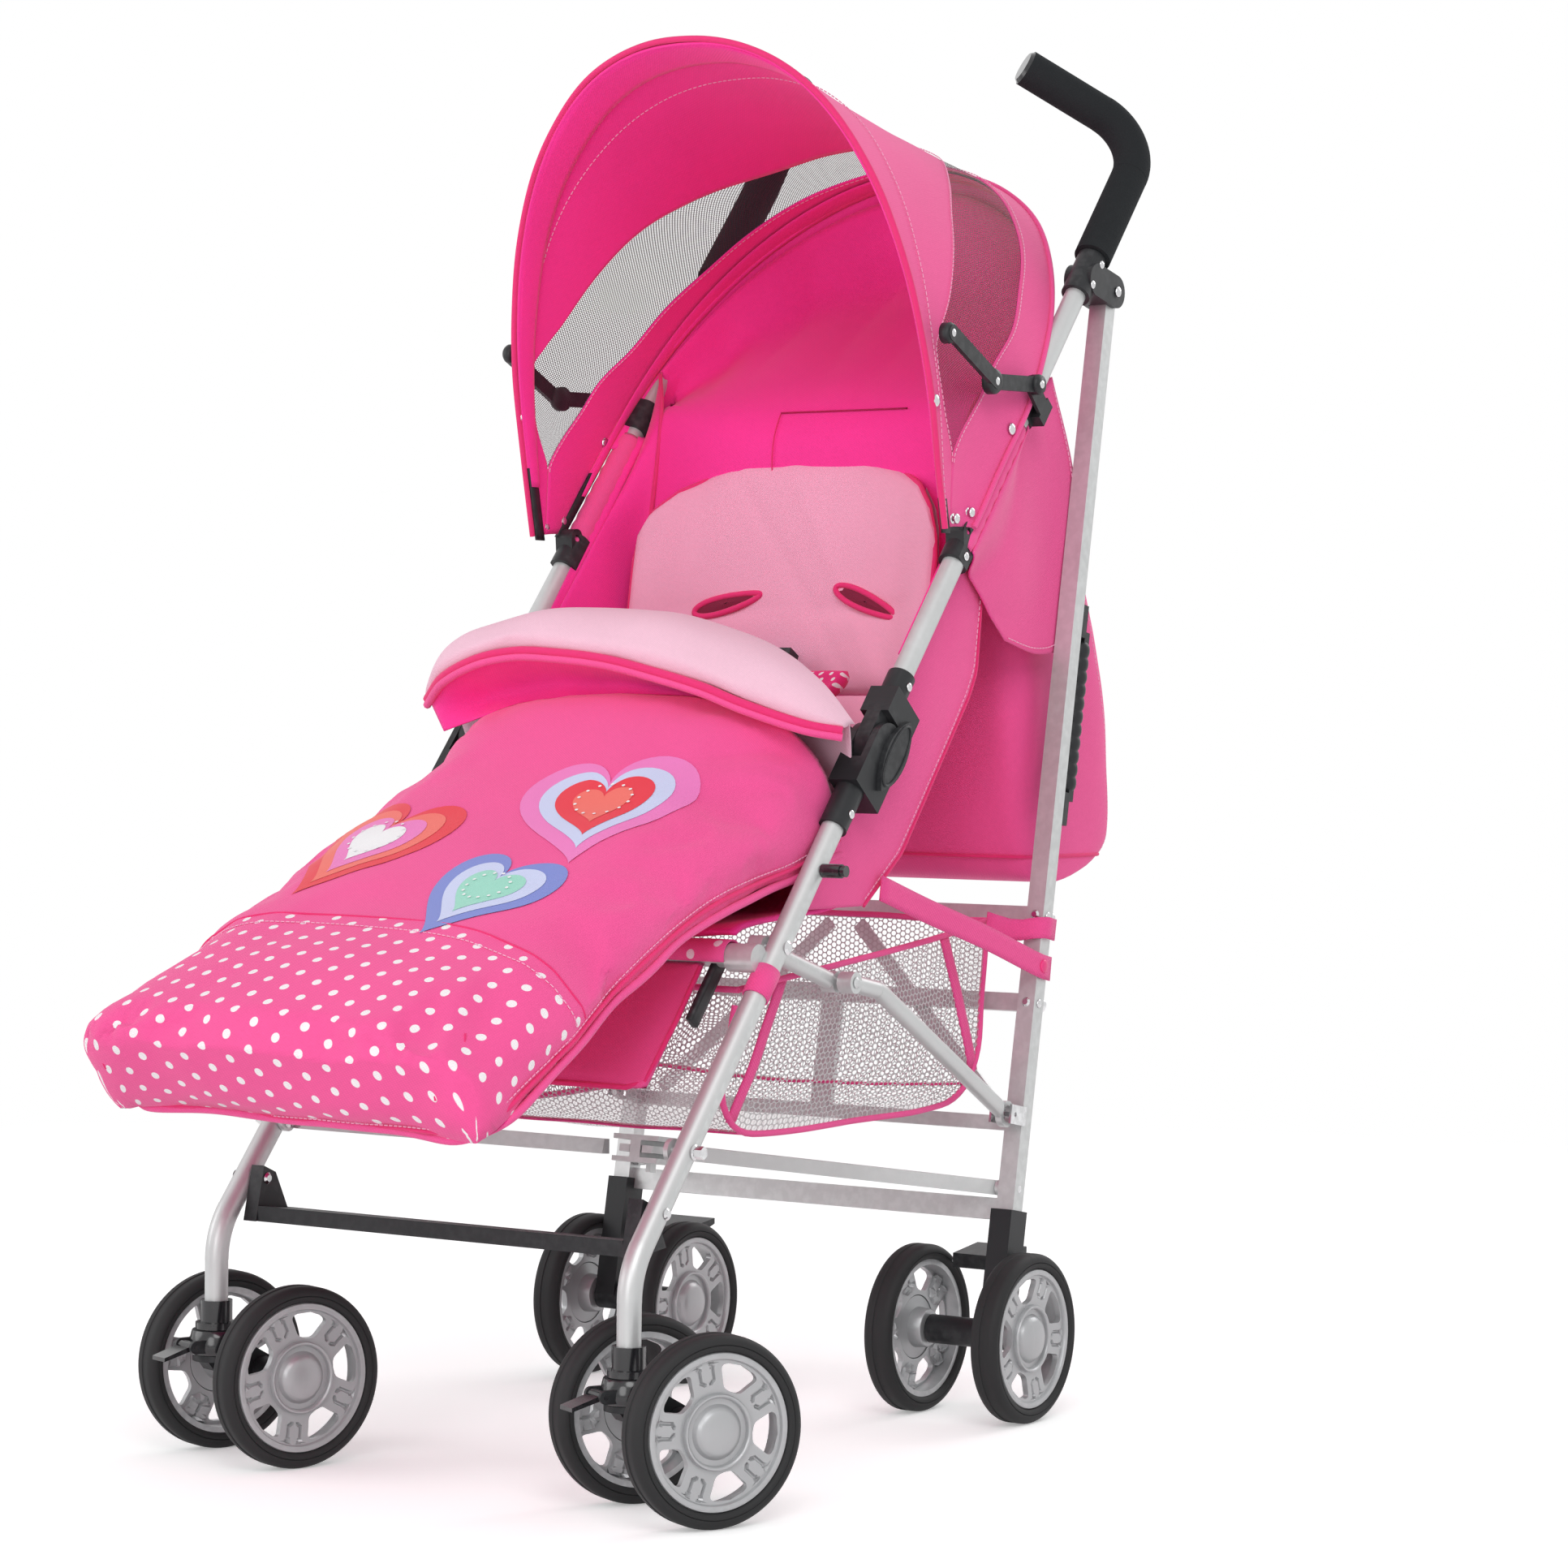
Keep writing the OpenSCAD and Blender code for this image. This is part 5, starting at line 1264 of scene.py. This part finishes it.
def muff_top(u, v):
    a = math.pi * (1 - u)
    x = MUFF_HALF * math.copysign(abs(math.cos(a)) ** 0.4, math.cos(a))
    seam = s_of_y(toe_seam(x))
    if v < ROW:
        k = v / ROW
        s = TOE * (1 - math.cos(min(k / 0.55, 1) * math.pi / 2)) if k < 0.55 else mix(TOE, seam, (k - 0.55) / 0.45)
    else:
        s = mix(seam, 1.0, (v - ROW) / (1 - ROW))
    place = muff_lid(u, s)
    calm = smooth(s, 0.0, 0.1)
    crease = 0.0035 * math.sin(30 * s + 5 * math.sin(u * 6.0)) * math.exp(-((abs(u - 0.5) - 0.4) / 0.16) ** 2)
    return place + Vector((0, -0.2, 1)) * (crumple(place, 0.0026, 8.0, 2.0) + crease) * calm

def muff_back(u, v):
    s = TOE * (1 - math.cos(min(v / 0.1, 1) * math.pi / 2)) if v < 0.1 else mix(TOE, 1.0, (v - 0.1) / 0.9)
    a = math.pi * (1 - u)
    lid = muff_lid(u, s, 0.0)
    sag = 5 * math.sin(a) ** 0.5 * smooth(s, 0, 0.05) * (1 - smooth(s, 0.9, 1))
    return lid - Vector((0, -0.4, 0.9)) * sag / 1000

def measured_map(bm, columns, rows):
    """Gives the map true lengths: each row is measured across and each column along."""
    bm.verts.ensure_lookup_table()
    count = columns + 1
    place = {}
    for r in range(rows + 1):
        row = [bm.verts[r * count + c].co for c in range(count)]
        run = [0.0]
        for p, q in zip(row, row[1:]):
            run.append(run[-1] + (q - p).length)
        for c in range(count):
            place[(r, c)] = [run[c] - run[columns // 2], 0.0]
    for c in range(count):
        total = 0.0
        for r in range(rows - 1, -1, -1):
            total += (bm.verts[r * count + c].co - bm.verts[(r + 1) * count + c].co).length
            place[(r, c)][1] = total
    layer = bm.loops.layers.uv["map"]
    for face in bm.faces:
        for loop in face.loops:
            r, c = divmod(loop.vert.index, count)
            loop[layer].uv = place[(r, c)]

NU, NV = 96, 106
lid = grid(muff_top, NU, NV)
measured_map(lid, NU, NV)
seam_row = round(ROW * NV)
for face in lid.faces:
    face.material_index = 1 if min(v.index // (NU + 1) for v in face.verts) < seam_row else 0
under = grid(muff_back, NU, 60)
for face in under.faces:
    face.material_index = 2
join(lid, under)
bmesh.ops.remove_doubles(lid, verts=lid.verts[:], dist=0.0012)
mouth = [e for e in lid.edges if e.is_boundary]
for inset in (0.95, 0.9, 0.8):
    grown = bmesh.ops.extrude_edge_only(lid, edges=mouth)["geom"]
    mouth = [e for e in grown if isinstance(e, bmesh.types.BMEdge) and e.is_boundary]
    ring = list({v for e in mouth for v in e.verts})
    middle = sum((v.co for v in ring), Vector()) / len(ring)
    for v in ring:
        v.co = middle + (v.co - middle) * inset + Vector((0, -0.88, -0.6)) * 0.009
bmesh.ops.holes_fill(lid, edges=mouth, sides=600)
for face in lid.faces:
    if len(face.verts) > 4 or face.calc_center_median().y > at(0, 290, 0).y:
        face.material_index = 2
bmesh.ops.triangulate(lid, faces=[f for f in lid.faces if len(f.verts) > 4])
bmesh.ops.recalc_face_normals(lid, faces=lid.faces[:])
muff = piece("footmuff_sack", lid, [outer_cloth, dotted_cloth, inner_cloth])
puff(muff, 0.006, 3.0, frames=12)
rumple(muff, 0.0030, 13.0)
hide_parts("footmuff")
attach(muff, "chassis")
muff_tree = tree_of(muff)
print("footmuff:", len(muff.data.vertices), "points")

# %% Footmuff seams
def evened(run, times):
    """Smooths a line, with its ends held."""
    for _ in range(times):
        run = [run[0]] + [(p + q * 2 + r) / 4 for p, q, r in zip(run, run[1:], run[2:])] + [run[-1]]
    return run

def laid(points, lift=0.0008, smoothing=6):
    """Moves a line of points on to the nearest cloth, and lifts it off by a hair."""
    out = []
    for p in points:
        place, normal = muff_tree.find_nearest(p)[:2]
        if normal.dot(p - place) < 0 and (p - place).length > 0.02:
            normal = -normal
        out.append(place + normal * lift)
    return evened(out, smoothing)

seam_run = [muff_top(mix(0.02, 0.98, k), ROW) for k in shares(140)]
line("toe_seam_cord", laid(seam_run, 0.0002), 0.0009, piping_cloth, "chassis", "pink_cloth")
stitches("toe_seam_stitch", laid([muff_top(mix(0.02, 0.98, k), ROW - 0.02) for k in shares(140)]), "chassis")

def hem_point(k, rise):
    """The seam between the lid and the back, from one end of the mouth round the toes."""
    if k < 0.4 or k > 0.6:
        u, s = (0.0, 1 - k / 0.4) if k < 0.4 else (1.0, (k - 0.6) / 0.4)
    else:
        u, s = 0.5 - 0.5 * math.cos(math.pi * (k - 0.4) / 0.2), 0.0
    return muff_lid(u, s, 0.0) + Vector((0, 0, rise / 1000))

def hem_run(rise, lift):
    rows = spaced([tuple(hem_point(k, rise)) for k in shares(240)])
    run = [Vector(table(rows, k)) for k in shares(260)]
    return laid(evened(run, 24), lift, smoothing=14)

line("zip_seam", hem_run(1.0, 0.0016), 0.0034, outer_cloth, "chassis", "pink_cloth")
line("zip_tape", hem_run(11.0, 0.0006), 0.002, piping_cloth, "chassis", "deep_pink_cloth")
stitches("zip_stitch", hem_run(17.0, 0.0010), "chassis")
for i, x in enumerate((158, -158)):
    dart = laid([at(x - math.copysign(7, x) * k / 10, -168 + 16 * k / 10, 318 + 30 * k / 10) for k in range(11)],
                0.0002)
    line(f"toe_dart_{i}", dart, 0.0009, piping_cloth, "chassis", "pink_cloth")
print("muff seams sewn")

# %% [markdown]
# Three appliques decorate the muff. They are plain nested hearts with a dotted middle, cut
# from thin cloth and laid on the padding layer by layer.

# %% Heart appliques
def heart(angle):
    """The outline of a plump heart: a point for each angle."""
    x = 16 * math.sin(angle) ** 3
    y = 13 * math.cos(angle) - 5 * math.cos(2 * angle) - 2 * math.cos(3 * angle) - 0.6 * math.cos(4 * angle)
    return x / 17, y / 17

COLOURS = {"red": (0.78, 0.035, 0.06), "coral": (0.85, 0.16, 0.13), "orchid": (0.82, 0.2, 0.52),
           "sky": (0.58, 0.63, 0.86),
           "violet": (0.2, 0.25, 0.62), "mint": (0.32, 0.67, 0.55), "white": (0.85, 0.84, 0.86)}
motif = {name: cloth(f"motif_{name}", colour, threads=300.0, mottle=0.05, rough=0.6, bump=0.15)
         for name, colour in COLOURS.items()}

def on_muff(x, along_muff, lift):
    """A place on the padded top, x across and along_muff up its length, in metres."""
    start = at(x * 1000, along_muff * 1000 * math.cos(MUFF_UP), 430 + along_muff * 1000 * math.sin(MUFF_UP))
    out = Vector((0, -math.sin(MUFF_UP), math.cos(MUFF_UP)))
    place, normal = muff_tree.ray_cast(start + out * 0.08, -out)[:2]
    if place is None:
        place, normal = muff_tree.find_nearest(start)[:2]
    return place + (normal if normal.dot(out) > 0 else -normal) * lift

def applique(name, centre, size, turned, layers, outline=heart):
    for order, (scale, colour) in enumerate(layers):
        def f(u, v):
            x, y = outline(math.tau * v)
            x, y = x * size * scale * u, y * size * scale * u * 1.3
            c, s = math.cos(turned), math.sin(turned)
            return on_muff(centre[0] + c * x - s * y, centre[1] + s * x + c * y, 0.0007 + 0.0003 * order)
        bm = grid(f, 8, 72)
        bmesh.ops.remove_doubles(bm, verts=bm.verts[:], dist=1e-5)
        bmesh.ops.recalc_face_normals(bm, faces=bm.faces[:])
        if sum(face.normal.z for face in bm.faces) < 0:
            bmesh.ops.reverse_faces(bm, faces=bm.faces[:])
        piece(f"{name}_{order}", bm, motif[colour], "chassis", "pink_cloth")

def disc(angle):
    return math.sin(angle), math.cos(angle)

def ring_of_dots(name, centre, radius, count, size, colour):
    whole = bmesh.new()
    for i in range(count):
        a = math.tau * i / count
        middle = (centre[0] + radius * math.cos(a), centre[1] + radius * math.sin(a))
        def dot(u, v):
            turn = math.tau * v
            return on_muff(middle[0] + size * u * math.cos(turn), middle[1] + size * u * math.sin(turn), 0.0022)
        join(whole, grid(dot, 2, 10))
    bmesh.ops.remove_doubles(whole, verts=whole.verts[:], dist=1e-5)
    piece(name, whole, motif[colour], "chassis", "pink_cloth")

applique("heart_large", (0.075, 0.150), 0.075, 0.3,
         [(1.0, "orchid"), (0.76, "sky"), (0.56, "red"), (0.34, "coral")])
applique("heart_coral", (-0.100, 0.085), 0.070, -0.2,
         [(1.0, "red"), (0.78, "coral"), (0.58, "orchid"), (0.36, "white")])
applique("heart_violet", (0.060, 0.010), 0.058, -0.12, [(1.0, "violet"), (0.74, "sky"), (0.5, "mint")])
MIDDLES = [("large", (0.075, 0.155), 0.015, "sky", "white"), ("coral", (-0.100, 0.090), 0.015, "mint", "violet"),
           ("violet", (0.060, 0.014), 0.012, "white", "coral")]
for label, centre, size, ground, eye in MIDDLES:
    applique(f"heart_{label}_middle", centre, size, 0.0, [(1.0, ground), (0.55, eye)], outline=disc)
    ring_of_dots(f"heart_{label}_dots", centre, size * 1.5, 14, 0.0014, "white")
print("appliques laid")

# %% [markdown]
# The muff's mouth stands up behind its top and folds forward again as a collar, so the
# pale lining shows. The collar is a lens-shaped pad with a bold piped lower edge.

# %% Collar of the footmuff
COLLAR_TOP = [(-204, 288, 598), (-190, 290, 615), (-143, 293, 642), (-60, 295, 658), (28, 294, 656),
              (83, 292, 645), (129, 290, 630), (172, 286, 603), (206, 276, 574)]
COLLAR_LOW = [(-204, 270, 594), (-168, 244, 612), (-124, 232, 627), (-85, 230, 633), (-47, 228, 632),
              (4, 228, 627), (51, 230, 617), (97, 232, 605), (133, 236, 592), (180, 250, 577), (206, 264, 572)]

def collar_line(rows, k):
    """A point of one of the collar's edges, at a share k of its width."""
    left, width = rows[0][0], rows[-1][0] - rows[0][0]
    return Vector(eased([((x - left) / width, x, y, z) for x, y, z in rows], k))

def collar_place(outward):
    def carry(p, d):
        k, v = p
        low_edge, top_edge = collar_line(COLLAR_LOW, k), collar_line(COLLAR_TOP, k)
        place = mix(low_edge, top_edge, v)
        reach = (top_edge - low_edge).length / 60
        bow = 12 * math.sin(math.pi * v) * min(reach, 1)
        wave = 1.6 * math.sin(k * 23) * math.sin(math.pi * v)
        out = Vector((0, -0.62, 0.78))
        place += out * (bow + wave) + out * outward * 6.5 * d
        return at(*place)
    return carry

pillow("muff_collar", lambda u, v: (u, v), collar_place(1), collar_place(-1), nu=110, nv=30, material=[pale_cloth],
       body="chassis", replaces=("footmuff_flap",), cap=0.004)

def collar_rim(k, drop=0.0):
    return at(*(collar_line(COLLAR_LOW, k) + Vector((0, -1.5, -1.5 - drop))))

line("collar_piping", [collar_rim(k) for k in shares(120)], 0.0036, piping_cloth, "chassis", "deep_pink_cloth")
line("collar_band", [collar_rim(k, 5.0) for k in shares(120)], 0.0034, outer_cloth, "chassis", "pink_cloth")

def collar_under(u, v):
    """The mouth's front, from the collar down into the sack. It is outer cloth in shade under the collar, given the
    deeper inner cloth as painted shade.
    """
    a = collar_line(COLLAR_LOW, mix(0.01, 0.99, v)) + Vector((0, 1, -4))
    x = mix(-182, 182, v)
    b = Vector((x, 264, 566 + 30 * (1 - (x / 182) ** 2)))
    place = mix(a, b, u)
    inner = smooth(v, 0.0, 0.14) * smooth(1 - v, 0.0, 0.1)
    bulge = mix(26, 9, v) * math.sin(math.pi * u) + 1.6 * math.sin(v * 34) * u
    return at(place.x, place.y + bulge * inner, place.z)

# The deeper inner cloth stands in for the outer cloth here: painted shade under the collar.
sewn("muff_mouth_front", collar_under, 16, 90, (0.08, 0.41), inner_cloth, "chassis", "deep_pink_cloth",
     turn=True)

def mouth_back(u, v):
    """The mouth's back, which lies against the seat."""
    a = collar_line(COLLAR_TOP, mix(0.01, 0.99, v))
    b = Vector((mix(-172, 172, v), 300, 476))
    place = mix(a, b, u)
    return at(place.x, place.y + 14 * math.sin(math.pi * u), place.z)

made = sewn("muff_mouth_back", mouth_back, 24, 70, (0.19, 0.41), [outer_cloth, pale_cloth], "chassis",
            "light_pink_cloth")
back_and_front(made, (0, 1, 0))
print("collar made")

# %% [markdown]
# ## Calf rest
# A short padded board hangs from the seat's front bar, under the muff.

# %% Calf rest
def on_calf(x, local_y, local_z):
    """A point of the calf board's own frame, at rest."""
    return leaned(x, FRONT_BAR, LEAN, local_y, local_z)

pillow("calf_board", lambda u, v: (mix(-146, 146, u), mix(-125, -9, v)), lambda p,
       d: on_calf(p[0], -2 - 5.5 * d, p[1]),
       lambda p, d: on_calf(p[0], -2 + 5.5 * d, p[1]), material=outer_cloth, body="calf_support",
       replaces=("calf_rest",), cap=0.003)
CALF_EDGE = [(146, -12), (147, -60), (145, -120), (130, -126), (0, -126),
             (-130, -126), (-145, -120), (-147, -60), (-146, -12)]
line("calf_piping", [on_calf(x, -2, z) for x, z in CALF_EDGE], 0.0022, piping_cloth, "calf_support",
     "deep_pink_cloth")
for side, label in SIDES:
    fold = [on_calf(side * 154, 4, z) for z in (-2, -20, -40, -60)]
    strap(f"calf_arm_{label}", fold, 0.012, (0, math.cos(LEAN), -math.sin(LEAN)), "calf_support", dull_black,
          slot="black_plastic", thick=0.005)
print("calf rest made")

# %% [markdown]
# ## Basket
# The shopping basket is open net bound in pink. Its floor, front and back are one long
# sheet that sags under its own weight, and its sides are two more.

# %% Basket net
FLOOR_RUN = spaced([(188, 372), (176, 320), (170, 292), (184, 268), (215, 260), (350, 259), (490, 262), (528, 276),
                    (548, 306), (558, 360), (566, 412)])
TOP_RUN = spaced([(188, 372), (300, 386), (400, 396), (500, 405), (566, 412)])
BASKET_HALF = 162

def basket_run(u, v):
    """The net's floor, which climbs at its ends to the front and rear edges."""
    y, z = eased(FLOOR_RUN, v)
    middle_dip = math.sin(math.pi * u)
    low_share = smooth(v, 0.2, 0.35) * (1 - smooth(v, 0.72, 0.85))
    bow = 10 * middle_dip * ((1 - smooth(v, 0.0, 0.2)) + smooth(v, 0.85, 1.0)) * 0.5
    place = at(mix(-BASKET_HALF, BASKET_HALF, u), y + (bow if v < 0.3 else -bow), z - 9 * middle_dip * low_share)
    return place + Vector((0, 0, crumple(place, 0.003, 8.0, 7.0)))

def basket_side(side):
    def f(u, v):
        y0, z0 = eased(FLOOR_RUN, mix(0.02, 0.98, v))
        y1, z1 = eased(TOP_RUN, v)
        bulge = 6 * math.sin(math.pi * u) * math.sin(math.pi * v)
        place = at(side * (BASKET_HALF + bulge), mix(y0, y1, u), mix(z0, z1, u) - 4 * math.sin(math.pi * v) * u)
        return place + Vector((side * crumple(place, 0.004, 9.0, 4.0), 0, 0))
    return f

def folds_down(made):
    """Gives the piece a mesh of its own. On the real stroller the basket flattens towards its floor when it folds;
    here it does not.
    """
    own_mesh(made)

folds_down(sewn("basket_floor_net", basket_run, 40, 80, (0.324, 0.65), net, "chassis", "mesh", thick=0,
                replaces=("basket",)))
for side, label in SIDES:
    f = basket_side(side)
    folds_down(sewn(f"basket_side_net_{label}", f, 24, 60, (0.13, 0.4), net, "chassis", "mesh", thick=0))
    for where, run in (("top", [f(1.0, k) for k in shares(50)]), ("foot", [f(0.0, k) for k in shares(60)])):
        folds_down(line(f"basket_{where}_binding_{label}", run, 0.0026, outer_cloth, "chassis", "pink_cloth"))
    for i, v in enumerate((0.16, 0.80)):
        run = [f(u, v) + Vector((side * 0.001, 0, 0)) for u in [k for k in shares(8)]]
        folds_down(strap(f"basket_rib_{label}_{i}", run, 0.013, (0, 1, 0), "chassis", webbing))
for label, v in (("front", 0.0), ("rear", 1.0)):
    folds_down(line(f"basket_{label}_binding", [basket_run(k, v) for k in shares(40)], 0.0026, outer_cloth,
                    "chassis", "pink_cloth"))
for i, v in enumerate((0.235, 0.765)):
    run = [basket_run(k, v) - Vector((0, 0, 0.0012)) for k in shares(30)]
    folds_down(strap(f"basket_floor_strap_{i}", run, 0.014, (0, 1, 0), "chassis", webbing))
print("basket hung")

# %% [markdown]
# ## Straps and small fittings
# Webbing holds the basket to the tubes, screws hold the sleeves, and each caster has a
# glossy bulb over its swivel.

# %% Straps
def loop(name, place, axis, radius, width, body):
    """Webbing sewn round a tube."""
    half, edge = width / 2, radius + 0.0014
    ring = spun([(radius, -half), (edge, -half + 0.0004), (radius + 0.0016, 0), (edge, half - 0.0004),
                 (radius, half), (radius, -half)], 32)
    stand(ring, place, axis)
    piece(name, ring, webbing, body, "pink_cloth")

for side, label in SIDES:
    loop(f"tube_loop_{label}", at(side * SIDE, *along(262)), TUBE_WAY, 0.0093, 0.026, "chassis")
    run = [at(side * 186, *along(255, 4)), at(side * 178, 190, 378), at(side * 164, 200, 374)]
    strap(f"basket_hanger_{label}", run, 0.02, (0, 0.75, 0.6), "chassis", webbing, slot="pink_cloth")
    y, z = down_leg(554)
    run = [at(side * 170, 548, 411), at(side * 184, 572, 404), at(side * 204, y - 8, z + 3),
           at(side * 206, y + 8, z)]
    strap(f"leg_strap_{label}", run, 0.018, (0, 0.2, 1), "rear_frame", webbing, slot="pink_cloth")
    y, z = down_leg(585)
    run = [at(side * 186.5, 352, 446), at(side * 190, 420, 425), at(side * 198, 500, 401),
           at(side * 204.6, y - 10, z + 2), at(side * 205, y + 8, z - 2)]
    strap(f"long_strap_{label}", run, 0.02, (0, 0.15, 1), "rear_frame", webbing, slot="pink_cloth")
    studs(f"strap_snap_{label}", [(at(side * 206.4, y - 4, z + 1), (side, 0, 0))], "rear_frame", radius=0.0055,
          material=pink_plastic, slot="pink_plastic")

# %% Screws on sleeves and brackets
def tube_screws(side, stations, body, name, x=206.6):
    studs(name, [(at(side * x, *along(s)), (side, 0, 0)) for s in stations], body, radius=0.0036, height=0.0018)

for side, label in SIDES:
    tube_screws(side, (428,), "chassis", f"lower_sleeve_screw_{label}")
    tube_screws(side, (558,), "upper_frame", f"upper_sleeve_screw_{label}")
    tube_screws(side, (1010, 1034), "upper_frame", f"bracket_screws_{label}", x=207.4)
    tube_screws(side, (698,), "upper_frame", f"clamp_screw_{label}", x=204.4)
    for t, bar in ((542, "upper"), (616, "lower")):
        studs(f"bar_rivet_{bar}_{label}", [(at(side * 203.2, *down_leg(t)), (side, 0, 0))], "rear_frame",
              radius=0.0036, height=0.0016)
    pad = [at(side * 212.2, *along(499.5 + 29 * math.cos(a), 15 + 10.5 * math.sin(a)))
           for a in [k * math.tau / 48 for k in range(48)]]
    line(f"pad_outline_{label}", pad, 0.0011, dull_black, "upper_frame", "black_plastic", closed=True)
    studs(f"pivot_bolt_{label}", [(at(side * 208.6, *PIVOT), (side, 0, 0))], "upper_frame", radius=0.0046)

# %% Bosses of the canopy's stays
BOSS_FROM, BOSS_TO = 212.6, 221.2

def boss(name, side, y, z, radius, body):
    """A round domed boss where two stays are riveted together."""
    depth = (BOSS_TO - BOSS_FROM) / 1000
    shape = spun([(0, 0), (radius, 0), (radius, depth * 0.75), (radius * 0.86, depth), (0, depth)], 36)
    stand(shape, at(side * BOSS_FROM, y, z), (side, 0, 0))
    piece(name, shape, dull_black, body, "black_plastic")
    studs(f"{name}_rivet", [(at(side * BOSS_TO, y, z), (side, 0, 0))], body, radius=0.0034, height=0.0016)

for side, label in SIDES:
    boss(f"stay_front_boss_{label}", side, 397.6, 888, 0.0085, "hood_front_stays")
    boss(f"stay_knee_boss_{label}", side, 468, 854.7, 0.0105, "hood_rear_stays")
    boss(f"stay_rear_boss_{label}", side, 541.5, 857.5, 0.0085, "hood_rear_stays")

# %% Grip of the carry handle
def beaded_grip(name, start, end):
    """A soft beaded grip round a bar."""
    length = (end - start).length
    beads = 11
    profile = [(0.0, 0.0), (0.004, 0.0)]
    for k in range(beads * 8 + 1):
        z = 0.004 + (length - 0.008) * k / (beads * 8)
        profile.append((0.0072 + 0.0015 * abs(math.sin(math.pi * k / 8)) ** 0.7, z))
    profile += [(0.004, length), (0.0, length)]
    shape = spun(profile, 24)
    stand(shape, start, end - start)
    piece(name, shape, dull_black, "rear_frame", "black_plastic")

beaded_grip("carry_grip", at(SIDE, *down_leg(300, 22)), at(SIDE, *down_leg(434, 22)))

# %% Caster bulbs
BULB = [(0.0185, 0.0842), (0.0205, 0.086), (0.0215, 0.0895), (0.0212, 0.094), (0.0198, 0.0985), (0.0186, 0.1030),
        (0.0182, 0.1033), (0.0182, 0.0842), (0.0185, 0.0842)]
for side, label in SIDES:
    bulb = spun(BULB, 40)
    bmesh.ops.transform(bulb, matrix=Matrix.Translation(at(side * SIDE, 0, 0)), verts=bulb.verts[:])
    piece(f"caster_bulb_{label}", bulb, gloss_black, f"{label}_caster", "glossy_black")
print("fittings done")

# %% [markdown]
# ## The canopy's bows
# The bows are flat plastic blades that run inside the cloth's hems. Only their feet show,
# black, where they meet the pivot.

# %% Bows
def blade(name, hoop_rows, inward, body, node_name):
    def f(u, v):
        place = Vector(table(hoop_rows, v))
        outward = Vector((place.x - HOOD_MIDDLE.x, 0, place.z - HOOD_MIDDLE.z)).normalized()
        return place - outward * 0.0028 + Vector((0, inward * 0.011 * u, 0))
    bm = grid(f, 2, 180)
    bmesh.ops.recalc_face_normals(bm, faces=bm.faces[:])
    bmesh.ops.solidify(bm, geom=bm.faces[:], thickness=0.0022)
    made = piece(name, bm, [dull_black, inner_cloth], body, "black_plastic")
    for face in made.data.polygons:
        left = face.center.x > at(0, 0, 0).x
        face.material_index = 1 if face.center.z > at(0, 0, 760 if left else 792).z else 0
    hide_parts(node_name)

blade("front_bow_blade", front_hoop, 1, "hood_front", "front_bow")
blade("rear_bow_blade", rear_hoop, -1, "upper_frame", "rear_bow")

def hem_sleeve(name, u0, u1):
    def f(u, v):
        t = mix(0.045, 0.955, v)
        return canopy_point(mix(u0, u1, u), t, -0.0042 - 0.0012 * math.sin(math.pi * u))
    to_pivots(sewn(name, f, 6, 150, (0.02, arch * 0.9), inner_cloth, None, "deep_pink_cloth", thick=0.0008))

hem_sleeve("front_bow_sleeve", 0.0, 0.11)
hem_sleeve("rear_bow_sleeve", 0.93, 1.0)
print("bows made")
